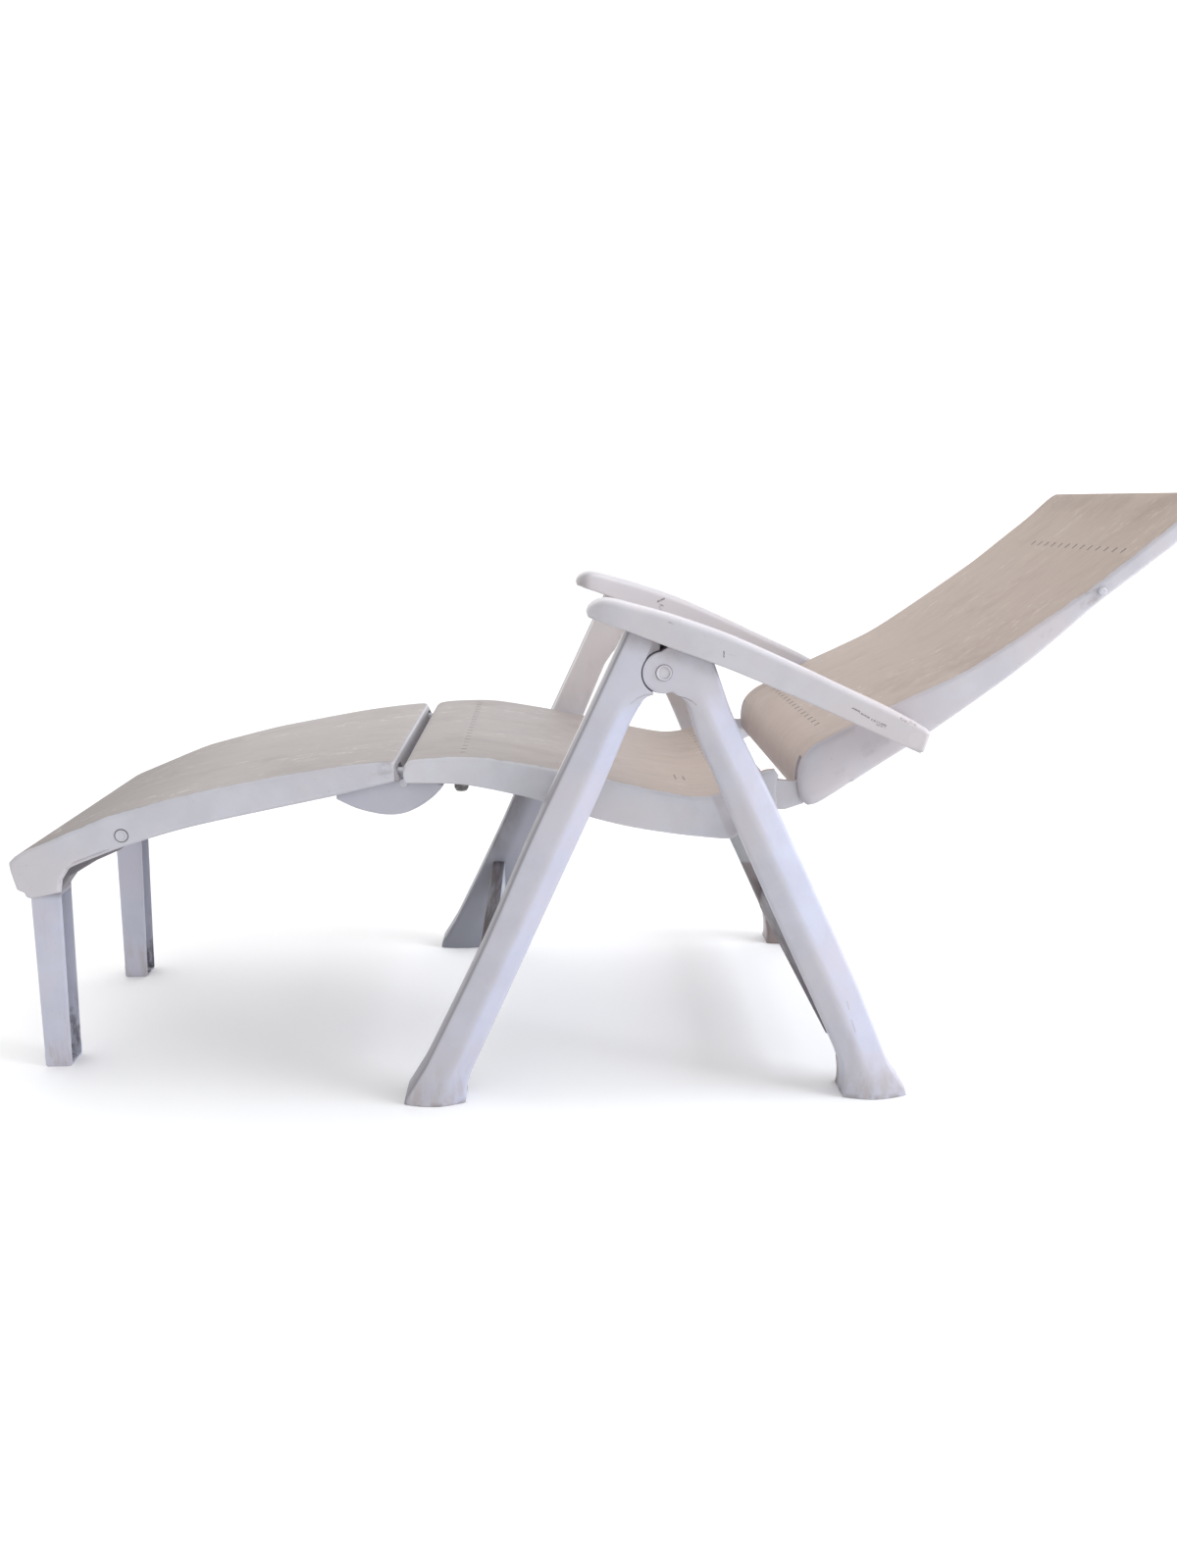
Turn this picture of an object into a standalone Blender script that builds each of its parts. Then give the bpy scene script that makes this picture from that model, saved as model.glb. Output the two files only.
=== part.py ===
"""Folding multi-position reclining garden armchair with a hinged footrest.

Moulded resin construction: three curved trays (seat, backrest, footrest) with
deep side flanges, an A-frame of two front and two rear legs, channel-section
armrests that lie on the tops of the front legs, and a pair of folding legs
under the nose of the footrest.

Units are metres, +Z up.  The chair faces -Y (footrest) and the backrest leans
back towards +Y.  X is across the chair, +X on the sitter's left.  The origin is
on the floor under the middle of the chair.
"""
import math

import bmesh
import bpy
from mathutils import Matrix, Vector

# ------------------------------------------------------------------ dimensions
# Side-view points are written as (u, z): u runs along the chair from the
# footrest to the head; u = 0 is 148 mm in front of the pivot that joins the
# front and rear legs.  Y = u - U_MID puts the origin at half the length.
U_MID = 0.06625

PANEL_HALF = 0.245        # outer face of seat and footrest side flanges
BACK_HALF = 0.256         # outer face of backrest side flanges
FLANGE_T = 0.008          # side flange thickness
SKIN = 0.006              # skin of the trays
GAP = 0.0003              # running gap between touching pieces

LEG_IN, LEG_OUT = 0.274, 0.328      # leg bars across X
LAP_IN, LAP_OUT = 0.3022, 0.3034    # split plane of the half-lap at the pivot
ARM_IN, ARM_OUT = 0.266, 0.336      # armrest channel
ARM_WALL = 0.006

FRAME_PIVOT = (0.148, 0.610)        # front leg to rear leg
SEAT_PIVOT = (0.026, 0.436)         # seat to front leg
BACK_PIVOT = (0.385, 0.447)         # seat to backrest
ARM_PIVOT = (0.482, 0.520)          # backrest to armrest
FOOTREST_PIVOT = (-0.205, 0.444)    # seat to footrest
STAND_PIVOT = (-0.597, 0.374)       # footrest to its legs

DISC_R = 0.028                      # round head of the rear leg
CHEEK_R = 0.031                     # inner cheek on the front leg
EAR_R = 0.0215                      # seat ear inside the backrest lobe

STAND_IN, STAND_OUT = 0.150, 0.193  # footrest legs across X
STAND_WALL = 0.004
LOBE_IN, LOBE_OUT = 0.2075, 0.2325  # footrest hinge lobes
HEAR_IN, HEAR_OUT = 0.197, 0.205    # seat ears for the footrest hinge

# ------------------------------------------------------------------ clean start
for ob in list(bpy.data.objects):
    bpy.data.objects.remove(ob, do_unlink=True)

PARTS = bpy.data.collections.new("reclining_chair")
CUTS = bpy.data.collections.new("cutters")
for coll in (PARTS, CUTS):
    bpy.context.scene.collection.children.link(coll)


# ------------------------------------------------------------------ materials
def plastic(name, rgb, rough, metal=0.0):
    mat = bpy.data.materials.new(name)
    mat.use_nodes = True
    bsdf = mat.node_tree.nodes["Principled BSDF"]
    bsdf.inputs["Base Color"].default_value = (*rgb, 1.0)
    bsdf.inputs["Roughness"].default_value = rough
    bsdf.inputs["Metallic"].default_value = metal
    mat.diffuse_color = (*rgb, 1.0)
    return mat


WHITE = plastic("white_resin", (0.72, 0.71, 0.76), 0.42)
TAUPE = plastic("weathered_resin", (0.56, 0.49, 0.44), 0.55)
PIN = plastic("pin_resin", (0.66, 0.66, 0.70), 0.38)
DARK = plastic("dark_rubber", (0.05, 0.05, 0.05), 0.75)


# ------------------------------------------------------------------ helpers
def yz(p):
    """Side-view point (u, z) to world (y, z)."""
    return (p[0] - U_MID, p[1])


def smooth(ctrl, per=4):
    """Catmull-Rom curve through the control points, `per` steps a span."""
    out = []
    n = len(ctrl)
    for i in range(n - 1):
        p0 = ctrl[max(i - 1, 0)]
        p1, p2 = ctrl[i], ctrl[i + 1]
        p3 = ctrl[min(i + 2, n - 1)]
        for k in range(per):
            t = k / per
            out.append(tuple(
                0.5 * (2 * p1[j] + (p2[j] - p0[j]) * t
                       + (2 * p0[j] - 5 * p1[j] + 4 * p2[j] - p3[j]) * t * t
                       + (3 * p1[j] - p0[j] - 3 * p2[j] + p3[j]) * t ** 3)
                for j in (0, 1)))
    out.append(tuple(ctrl[-1]))
    return out


def arc(c, r, a0, a1, n):
    """Points on a circle from angle a0 to a1 in degrees."""
    return [(c[0] + r * math.cos(math.radians(a0 + (a1 - a0) * k / n)),
             c[1] + r * math.sin(math.radians(a0 + (a1 - a0) * k / n)))
            for k in range(n + 1)]


def offset(line, d):
    """Shift an open line by d to the right of its direction."""
    out = []
    for i, p in enumerate(line):
        a = line[max(i - 1, 0)]
        b = line[min(i + 1, len(line) - 1)]
        t = Vector((b[0] - a[0], b[1] - a[1])).normalized()
        out.append((p[0] + t.y * d, p[1] - t.x * d))
    return out


def link(ob, coll, mat=None):
    coll.objects.link(ob)
    if mat is not None:
        ob.data.materials.clear()
        ob.data.materials.append(mat)
    if coll is CUTS:
        ob.hide_render = True
        ob.display_type = 'WIRE'
    return ob


def plate(name, pts, x0, x1, coll=CUTS, mat=None):
    """Flat outline in the side view, (u, z) points, thick from x0 to x1."""
    cu = bpy.data.curves.new(name, 'CURVE')
    cu.dimensions = '2D'
    cu.fill_mode = 'BOTH'
    cu.extrude = (x1 - x0) / 2
    sp = cu.splines.new('POLY')
    sp.points.add(len(pts) - 1)
    for bp, p in zip(sp.points, pts):
        y, z = yz(p)
        bp.co = (y, z, 0.0, 1.0)
    sp.use_cyclic_u = True
    ob = bpy.data.objects.new(name + "_outline", cu)
    ob.matrix_world = (Matrix.Translation(((x0 + x1) / 2, 0, 0))
                       @ Matrix.Rotation(math.pi / 2, 4, 'Z')
                       @ Matrix.Rotation(math.pi / 2, 4, 'X'))
    bpy.context.scene.collection.objects.link(ob)
    bpy.context.view_layer.update()
    deps = bpy.context.evaluated_depsgraph_get()
    me = bpy.data.meshes.new_from_object(ob.evaluated_get(deps))
    me.name = name
    world = ob.matrix_world.copy()
    bpy.data.objects.remove(ob, do_unlink=True)
    bm = bmesh.new()
    bm.from_mesh(me)
    bmesh.ops.remove_doubles(bm, verts=bm.verts, dist=0.00005)
    bmesh.ops.recalc_face_normals(bm, faces=bm.faces)
    bm.to_mesh(me)
    bm.free()
    me.transform(world)
    new = bpy.data.objects.new(name, me)
    return link(new, coll, mat)


def rod(name, centre, r, x0, x1, coll=CUTS, mat=None, seg=20):
    """Round bar along X, its centre given in the side view."""
    bm = bmesh.new()
    y, z = yz(centre)
    m = (Matrix.Translation(((x0 + x1) / 2, y, z))
         @ Matrix.Rotation(math.pi / 2, 4, 'Y'))
    bmesh.ops.create_cone(bm, cap_ends=True, segments=seg, radius1=r,
                          radius2=r, depth=x1 - x0, matrix=m)
    me = bpy.data.meshes.new(name)
    bm.to_mesh(me)
    bm.free()
    ob = bpy.data.objects.new(name, me)
    return link(ob, coll, mat)


def box(name, lo, hi, coll=CUTS, mat=None, top=None):
    """Box between two world corners; `top` = (lo, hi) tapers its upper face."""
    bm = bmesh.new()
    bmesh.ops.create_cube(bm, size=1.0)
    for v in bm.verts:
        up = v.co.z > 0
        a, b = (top if (top and up) else (lo, hi))
        v.co.x = a[0] if v.co.x < 0 else b[0]
        v.co.y = a[1] if v.co.y < 0 else b[1]
        v.co.z = hi[2] if up else lo[2]
    me = bpy.data.meshes.new(name)
    bm.to_mesh(me)
    bm.free()
    ob = bpy.data.objects.new(name, me)
    return link(ob, coll, mat)


def turned(name, centre, profile, side, coll=PARTS, mat=PIN, steps=20):
    """Turned piece along X.  profile is (radius, x) from x high to x low,
    for the +X side; side -1 mirrors it across the chair."""
    me = bpy.data.meshes.new(name)
    pts = [(0.0, profile[0][1])] + list(profile) + [(0.0, profile[-1][1])]
    bm = bmesh.new()
    vs = [bm.verts.new((r, 0.0, x)) for r, x in pts]
    for a, b in zip(vs, vs[1:]):
        bm.edges.new((a, b))
    bm.to_mesh(me)
    bm.free()
    ob = bpy.data.objects.new(name, me)
    y, z = yz(centre)
    turn = math.pi / 2 if side > 0 else -math.pi / 2
    ob.matrix_world = (Matrix.Translation((0, y, z))
                       @ Matrix.Rotation(turn, 4, 'Y'))
    link(ob, coll, mat)
    md = ob.modifiers.new("turn", 'SCREW')
    md.axis = 'Z'
    md.angle = math.tau
    md.screw_offset = 0.0
    md.steps = steps
    md.render_steps = steps
    md.use_merge_vertices = True
    md.merge_threshold = 0.00005
    md.use_smooth_shade = True
    return ob


def cut(ob, *tools):
    for t in tools:
        md = ob.modifiers.new("cut_" + t.name, 'BOOLEAN')
        md.operation = 'DIFFERENCE'
        md.solver = 'EXACT'
        md.object = t
    return ob


def join(ob, *tools):
    for t in tools:
        md = ob.modifiers.new("join_" + t.name, 'BOOLEAN')
        md.operation = 'UNION'
        md.solver = 'EXACT'
        md.object = t
    return ob


def settle(ob):
    """Replace an object's stack of modifiers by the mesh they make."""
    bpy.context.view_layer.update()
    deps = bpy.context.evaluated_depsgraph_get()
    me = bpy.data.meshes.new_from_object(ob.evaluated_get(deps))
    me.transform(ob.matrix_world)
    ob.modifiers.clear()
    ob.data = me
    ob.matrix_world = Matrix.Identity(4)
    return ob


def recolour(ob, mat):
    ob.data.materials.clear()
    ob.data.materials.append(mat)
    for poly in ob.data.polygons:
        poly.material_index = 0


def pair(name, build, mat=PIN):
    """Left (+X) and right (-X) solids of a small piece; build(name, side)."""
    out = []
    for suffix, side in (("_left", 1), ("_right", -1)):
        ob = settle(build(name + suffix, side))
        recolour(ob, mat)
        out.append(ob)
    return out


def sided(fn, name):
    """Left (+X) and right (-X) copies of a handed piece."""
    left = settle(fn(name + "_left"))
    me = left.data.copy()
    me.transform(Matrix.Scale(-1, 4, (1, 0, 0)))
    me.flip_normals()
    right = bpy.data.objects.new(name + "_right", me)
    PARTS.objects.link(right)
    return left, right


# ------------------------------------------------------------------ seat tray
SEAT_TOP = smooth([(-0.2030, 0.4460), (-0.2045, 0.4620), (-0.1990, 0.4740),
                   (-0.1860, 0.4795), (-0.1500, 0.4820), (-0.1000, 0.4815),
                   (-0.0400, 0.4725), (0.0200, 0.4615), (0.0850, 0.4475),
                   (0.1500, 0.4320), (0.2100, 0.4230), (0.2600, 0.4330),
                   (0.2950, 0.4570), (0.3140, 0.4610)], 3)
SEAT_BOTTOM = ([(0.3200, 0.4520), (0.3180, 0.4030), (0.2960, 0.4022),
                (0.2860, 0.3980), (0.2620, 0.3650), (0.2550, 0.3607)]
               + smooth([(0.2400, 0.3612), (0.1800, 0.3680), (0.1100, 0.3800),
                         (0.0500, 0.3960), (-0.0100, 0.4170),
                         (-0.0500, 0.4280), (-0.1050, 0.4400),
                         (-0.1400, 0.4440), (-0.1990, 0.4452)], 2))


def seat_panel():
    body = plate("seat_panel", SEAT_TOP + SEAT_BOTTOM, -PANEL_HALF, PANEL_HALF,
                 PARTS, TAUPE)
    inner = [p for p in offset(SEAT_TOP[5:-2], SKIN) if p[0] < 0.2900]
    hollow = inner + [(0.298, 0.4510), (0.310, 0.4520), (0.310, 0.330),
                      (-0.1970, 0.330), (-0.1970, 0.4655)]
    inside = PANEL_HALF - FLANGE_T
    cut(body, plate("seat_hollow", hollow, -inside, inside))
    # the front wall is open beside the flanges, where the hinge lobes pass
    for s in (1, -1):
        a, b = sorted((s * 0.1920, s * 0.2360))
        cut(body, plate("seat_slot_%d" % s,
                        [(-0.230, 0.430), (-0.193, 0.430), (-0.193, 0.4660),
                         (-0.230, 0.4660)], a, b))
    # ears at the back, inside the lobes of the backrest
    ear = ([(0.3000, 0.4440), (0.2980, 0.4060), (0.3300, 0.4030),
            (0.3550, 0.4115)]
           + arc(BACK_PIVOT, EAR_R, -118, 172, 22)
           + [(0.3400, 0.4445), (0.3190, 0.4470)])
    # ears at the front, for the footrest hinge
    hear = (arc(FOOTREST_PIVOT, 0.0165, 110, 300, 12)
            + [(-0.1600, 0.4550), (-0.1450, 0.4790), (-0.1800, 0.4780),
               (-0.1960, 0.4720)])
    # transverse stiffening ribs under the skin
    for u, top, low in ((-0.110, 0.478, 0.462), (-0.020, 0.4665, 0.448),
                        (0.070, 0.4480, 0.428), (0.160, 0.4275, 0.405),
                        (0.240, 0.4220, 0.395)):
        join(body, plate("seat_rib_%d" % int(1000 * (u + 1)),
                         [(u - 0.002, low), (u + 0.002, low),
                          (u + 0.002, top), (u - 0.002, top)],
                         -0.2385, 0.2385))
    for s in (1, -1):
        a, b = sorted((s * 0.2330, s * PANEL_HALF))
        join(body, plate("seat_ear_%d" % s, ear, a, b))
        a, b = sorted((s * HEAR_IN, s * HEAR_OUT))
        join(body, plate("hinge_ear_%d" % s, hear, a, b))
        a, b = sorted((s * 0.225, s * 0.250))
        cut(body, rod("seat_ear_bore_%d" % s, BACK_PIVOT, 0.0070 + GAP, a, b))
        cut(body, rod("seat_side_bore_%d" % s, SEAT_PIVOT, 0.0080 + GAP, a, b))
        a, b = sorted((s * 0.190, s * 0.210))
        cut(body, rod("hinge_ear_bore_%d" % s, FOOTREST_PIVOT,
                      0.0060 + GAP, a, b))
    settle(body)
    recolour(body, TAUPE)
    return body


seat = seat_panel()

seat_pins = pair("seat_side_pin", lambda n, s: turned(
    n, SEAT_PIVOT,
    [(0.0080, 0.2900), (0.0080, LEG_IN - GAP), (0.0140, LEG_IN - GAP),
     (0.0140, PANEL_HALF + GAP), (0.0080, PANEL_HALF + GAP),
     (0.0080, 0.2370 - GAP), (0.0130, 0.2370 - GAP), (0.0130, 0.2320)], s))
back_pins = pair("back_hinge_pin", lambda n, s: turned(
    n, BACK_PIVOT,
    [(0.0070, 0.2525), (0.0070, 0.2330 - GAP), (0.0115, 0.2330 - GAP),
     (0.0115, 0.2275)], s))
foot_pins = pair("footrest_hinge_pin", lambda n, s: turned(
    n, FOOTREST_PIVOT,
    [(0.0060, 0.2340), (0.0060, HEAR_IN - GAP), (0.0090, HEAR_IN - GAP),
     (0.0090, 0.1945)], s))

# two rubber buffers under the front of the seat
def buffer_piece(name, x):
    me = bpy.data.meshes.new(name)
    pts = [(0.0, 0.4740), (0.0070, 0.4740), (0.0070, 0.4290),
           (0.0105, 0.4270), (0.0105, 0.4170), (0.0080, 0.4125),
           (0.0, 0.4125)]
    bm = bmesh.new()
    vs = [bm.verts.new((r, 0.0, z)) for r, z in pts]
    for a, b in zip(vs, vs[1:]):
        bm.edges.new((a, b))
    bm.to_mesh(me)
    bm.free()
    ob = bpy.data.objects.new(name, me)
    ob.location = (x, -0.131 - U_MID, 0.0)
    link(ob, PARTS, DARK)
    md = ob.modifiers.new("turn", 'SCREW')
    md.axis = 'Z'
    md.steps = 16
    md.render_steps = 16
    md.use_merge_vertices = True
    md.merge_threshold = 0.00005
    bpy.context.view_layer.update()
    return ob


buffers = pair("seat_buffer", lambda n, s: buffer_piece(n, 0.150 * s), DARK)

# ------------------------------------------------------------------ backrest
BACK_TOP = smooth([(0.3500, 0.4200), (0.3450, 0.4380), (0.3448, 0.4620),
                   (0.3510, 0.4820), (0.3660, 0.4980), (0.3850, 0.5090),
                   (0.4200, 0.5270), (0.4650, 0.5500), (0.5200, 0.5755),
                   (0.5750, 0.6030), (0.6360, 0.6430), (0.7000, 0.6880),
                   (0.7450, 0.7210), (0.8000, 0.7660), (0.8400, 0.7990),
                   (0.8700, 0.8270), (0.8830, 0.8380)], 3)
BACK_BOTTOM = ([(0.8905, 0.8385), (0.8940, 0.8310), (0.8890, 0.8220)]
               + smooth([(0.8400, 0.7740), (0.7500, 0.6960), (0.7000, 0.6500),
                         (0.6400, 0.5980), (0.5410, 0.5240), (0.4970, 0.4940),
                         (0.4300, 0.4500), (0.3850, 0.4200), (0.3710, 0.4125),
                         (0.3600, 0.4105)], 2))


def backrest_panel():
    body = plate("backrest_panel", BACK_TOP + BACK_BOTTOM, -BACK_HALF,
                 BACK_HALF, PARTS, TAUPE)
    inner = [p for p in offset(BACK_TOP, SKIN)[:-5] if p[1] > 0.4290]
    hollow = inner + [(0.8480, 0.7960), (0.8820, 0.8290), (0.8880, 0.8240),
                      (0.9100, 0.7300), (0.6000, 0.4000), (0.3700, 0.3500),
                      (0.3300, 0.3900), (0.3300, 0.4240)]
    inside = BACK_HALF - FLANGE_T
    cut(body, plate("back_hollow", hollow, -inside, inside))
    # slots beside the lobes, where the ears of the seat pass as it turns
    slot = (arc(BACK_PIVOT, 0.0340, 137, 232, 8)
            + arc(BACK_PIVOT, 0.0750, 232, 137, 6))
    for s in (1, -1):
        a, b = sorted((s * 0.2315, s * 0.2476))
        cut(body, plate("back_slot_%d" % s, slot, a, b))
    for u, top, low in ((0.440, 0.5325, 0.500), (0.530, 0.5760, 0.545),
                        (0.620, 0.6290, 0.600), (0.710, 0.6920, 0.668),
                        (0.800, 0.7620, 0.744)):
        join(body, plate("back_rib_%d" % int(1000 * u),
                         [(u - 0.002 + 0.6 * (top - low), low),
                          (u + 0.002 + 0.6 * (top - low), low),
                          (u + 0.002, top), (u - 0.002, top)],
                         -0.2495, 0.2495))
    for s in (1, -1):
        a, b = sorted((s * 0.240, s * 0.2530))
        cut(body, rod("back_bore_%d" % s, BACK_PIVOT, 0.0070 + GAP, a, b))
        a, b = sorted((s * 0.240, s * 0.270))
        cut(body, rod("arm_bore_%d" % s, ARM_PIVOT, 0.0050 + GAP, a, b))
        cut(body, rod("peg_bore_%d" % s, (0.7470, 0.7080), 0.0035 + GAP, a, b,
                      seg=18))
    settle(body)
    recolour(body, TAUPE)
    return body


back = backrest_panel()
arm_pins = pair("arm_pivot_pin", lambda n, s: turned(
    n, ARM_PIVOT,
    [(0.0085, 0.2765), (0.0085, ARM_IN + ARM_WALL + GAP),
     (0.0050, ARM_IN + ARM_WALL + GAP), (0.0050, ARM_IN - GAP),
     (0.0090, ARM_IN - GAP), (0.0090, BACK_HALF + GAP),
     (0.0050, BACK_HALF + GAP), (0.0050, BACK_HALF - FLANGE_T - GAP),
     (0.0085, BACK_HALF - FLANGE_T - GAP), (0.0085, 0.2430)], s))
side_pegs = pair("backrest_side_peg", lambda n, s: turned(
    n, (0.7470, 0.7080),
    [(0.0040, 0.2600), (0.0055, 0.2590), (0.0055, BACK_HALF + GAP),
     (0.0035, BACK_HALF + GAP), (0.0035, BACK_HALF - FLANGE_T - GAP),
     (0.0055, BACK_HALF - FLANGE_T - GAP), (0.0055, 0.2450)], s, steps=16))

# ------------------------------------------------------------------ armrests
ARM_TOP = smooth([(0.0500, 0.6810), (0.0485, 0.6880), (0.0540, 0.6970),
                  (0.0680, 0.7030), (0.0850, 0.7020), (0.1140, 0.6945),
                  (0.1460, 0.6860), (0.1800, 0.6755), (0.2260, 0.6595),
                  (0.2620, 0.6450), (0.3340, 0.6130), (0.3830, 0.5900),
                  (0.4420, 0.5630), (0.4700, 0.5490), (0.4960, 0.5350)], 3)
ARM_BOTTOM = ([(0.5020, 0.5290), (0.4950, 0.5040), (0.4890, 0.5015)]
              + smooth([(0.4660, 0.5125), (0.4040, 0.5405), (0.3400, 0.5695),
                        (0.2780, 0.5960), (0.2270, 0.6170), (0.1530, 0.6440),
                        (0.0980, 0.6650), (0.0560, 0.6790)], 2))
# line of the tips of the notch rack inside the armrest
RACK_TIPS = [(0.1080, 0.6775), (0.1200, 0.6712), (0.1350, 0.6670),
             (0.1500, 0.6590), (0.1650, 0.6500), (0.1800, 0.6435),
             (0.2040, 0.6380)]


def armrest(name):
    body = plate(name, ARM_TOP + ARM_BOTTOM, ARM_IN, ARM_OUT, PARTS, WHITE)
    inner = offset(ARM_TOP[6:-4], ARM_WALL)
    hollow = inner + [(0.4880, 0.5300), (0.4930, 0.5250), (0.4850, 0.4700),
                      (0.3000, 0.5000), (0.0500, 0.6000), (0.0640, 0.6840)]
    cut(body, plate(name + "_hollow", hollow, ARM_IN + ARM_WALL,
                    ARM_OUT - ARM_WALL))
    cut(body, rod(name + "_bore", ARM_PIVOT, 0.0050 + GAP, 0.260, 0.273))
    return body


def notch_rack(name):
    top = [p for p in offset(ARM_TOP, ARM_WALL + GAP)
           if 0.108 <= p[0] <= 0.204]
    low = []
    tips = RACK_TIPS
    for (a, b), (c, d) in zip(tips, tips[1:]):
        n = 3
        for k in range(n):
            t = k / n
            u, z = a + (c - a) * t, b + (d - b) * t
            low.append((u, z + (0.0045 if k == 1 else 0.0)))
    low.append(tips[-1])
    return plate(name, top + low[::-1], 0.2770, 0.2970, PARTS, PIN)


arm_left, arm_right = sided(armrest, "armrest")
rack_left, rack_right = sided(notch_rack, "arm_notch_rack")

# ------------------------------------------------------------------ front legs
FRONT_LEFT_EDGE = smooth([(-0.2060, 0.0140), (-0.1905, 0.0420),
                          (-0.1690, 0.0780), (-0.0915, 0.2400),
                          (-0.0310, 0.3800), (0.0430, 0.5390),
                          (0.0990, 0.6600)], 2)
FRONT_RIGHT_EDGE = smooth([(0.1220, 0.5740), (0.1050, 0.5400),
                           (0.0830, 0.4860), (0.0530, 0.4150),
                           (-0.0370, 0.2150), (-0.1030, 0.0680),
                           (-0.1180, 0.0380), (-0.1230, 0.0150)], 2)


def front_leg(name):
    outline = (FRONT_LEFT_EDGE
               + [(0.0990, 0.6700), (0.1390, 0.6560), (0.1500, 0.6420),
                  (0.1500, 0.5900), (0.1340, 0.5820)] + FRONT_RIGHT_EDGE
               + [(-0.1230, 0.0040), (-0.2080, 0.0040)])
    body = plate(name, outline, LEG_IN, LEG_OUT, PARTS, WHITE)
    # room for the round head of the rear leg in the outer half
    cut(body, plate(name + "_socket",
                    [(0.1400, 0.7000), (0.1345, 0.6500)]
                    + arc(FRAME_PIVOT, DISC_R + 0.0006, 152, 242, 8)
                    + [(0.1450, 0.5600), (0.2200, 0.5600), (0.2200, 0.7000)],
                    LAP_IN, LEG_OUT + 0.01))
    join(body, rod(name + "_cheek", FRAME_PIVOT, CHEEK_R, LEG_IN, LAP_IN,
                   seg=28))
    y0, y1 = yz((-0.2095, 0))[0], yz((-0.1230, 0))[0]
    t0, t1 = yz((-0.1960, 0))[0], yz((-0.1190, 0))[0]
    join(body, box(name + "_foot", (LEG_IN - 0.005, y0, 0.0),
                   (LEG_OUT + 0.006, y1, 0.030),
                   top=((LEG_IN + 0.001, t0), (LEG_OUT - 0.001, t1))))
    cut(body, rod(name + "_bore", FRAME_PIVOT, 0.0070 + GAP, 0.260, 0.340))
    cut(body, rod(name + "_seat_bore", SEAT_PIVOT, 0.0080 + GAP, 0.260,
                  0.2905))
    return body


def rear_leg(name):
    right = smooth([(0.2130, 0.6240), (0.2460, 0.5420), (0.3070, 0.4210),
                    (0.4150, 0.1960), (0.4620, 0.0880), (0.4770, 0.0530),
                    (0.4930, 0.0260), (0.5020, 0.0130)], 2)
    left = smooth([(0.4140, 0.0130), (0.4110, 0.0400), (0.4000, 0.0720),
                   (0.3140, 0.2570), (0.2590, 0.3780), (0.2280, 0.4500),
                   (0.1960, 0.5200), (0.1860, 0.5530), (0.1780, 0.5710),
                   (0.1660, 0.5800)], 2)
    outline = ([(0.1780, 0.6500), (0.2060, 0.6400)] + right
               + [(0.5020, 0.0040), (0.4140, 0.0040)] + left
               + arc(FRAME_PIVOT, DISC_R, 294, 98, 14) + [(0.1600, 0.6480)])
    body = plate(name, outline, LEG_IN, LEG_OUT, PARTS, WHITE)
    # the inner half of the head makes room for the front leg's cheek, and
    # its top stays under the notch rack of the armrest
    cut(body, plate(name + "_lap",
                    [(0.0900, 0.7000), (0.0900, 0.5200), (0.1400, 0.5600)]
                    + arc(FRAME_PIVOT, CHEEK_R + 0.0012, -95, 68, 16)
                    + [(0.1720, 0.6380), (0.2300, 0.6240), (0.2300, 0.7000)],
                    LEG_IN - 0.01, LAP_OUT))
    y0, y1 = yz((0.4130, 0))[0], yz((0.5055, 0))[0]
    t0, t1 = yz((0.4125, 0))[0], yz((0.4880, 0))[0]
    join(body, box(name + "_foot", (LEG_IN - 0.005, y0, 0.0),
                   (LEG_OUT + 0.006, y1, 0.030),
                   top=((LEG_IN + 0.001, t0), (LEG_OUT - 0.001, t1))))
    cut(body, rod(name + "_bore", FRAME_PIVOT, 0.0070 + GAP, 0.260, 0.340),
        rod(name + "_counterbore", FRAME_PIVOT, 0.0108, 0.3262, 0.340))
    cut(body, rod(name + "_peg_bore", (0.2980, 0.3910), 0.0070 + GAP, 0.260,
                  0.2885))
    return body


fleg_left, fleg_right = sided(front_leg, "front_leg")
rleg_left, rleg_right = sided(rear_leg, "rear_leg")


def crossbar(name, corners):
    """Hollow transverse rail between the legs, open at both ends."""
    body = plate(name, corners, -(LEG_IN - GAP), LEG_IN - GAP, PARTS, WHITE)
    cu = sum(p[0] for p in corners) / len(corners)
    cz = sum(p[1] for p in corners) / len(corners)
    inner = []
    for u, z in corners:
        d = Vector((cu - u, cz - z))
        inner.append((u + math.copysign(0.006, d.x),
                      z + math.copysign(0.006, d.y)))
    cut(body, plate(name + "_bore", inner, -0.30, 0.30))
    return settle(body)


front_bar = crossbar("front_crossbar",
                     [(-0.1085, 0.1170), (-0.0910, 0.1170), (-0.0860, 0.1240),
                      (-0.0860, 0.1705), (-0.1085, 0.1705)])
rear_bar = crossbar("rear_crossbar",
                    [(0.3965, 0.0740), (0.4240, 0.0740), (0.4240, 0.1330),
                     (0.3965, 0.1330)])
top_pegs = pair("leg_top_peg", lambda n, s: plate(
    n, [(0.1120, 0.6657), (0.1140, 0.6680), (0.1180, 0.6690),
        (0.1225, 0.6678), (0.1255, 0.6612)],
    *sorted((s * 0.2760, s * 0.3260)), coll=PARTS, mat=PIN))
frame_pins = pair("frame_pivot_pin", lambda n, s: turned(
    n, FRAME_PIVOT,
    [(0.0103, 0.3290), (0.0103, 0.3265), (0.0070, 0.3265),
     (0.0070, LEG_IN - GAP), (0.0120, LEG_IN - GAP), (0.0120, 0.2690)],
    s, steps=24))
rest_pegs = pair("seat_rest_peg", lambda n, s: turned(
    n, (0.2980, 0.3910),
    [(0.0070, 0.2880), (0.0070, LEG_IN - GAP), (0.0105, LEG_IN - GAP),
     (0.0105, 0.2320)], s))

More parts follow.
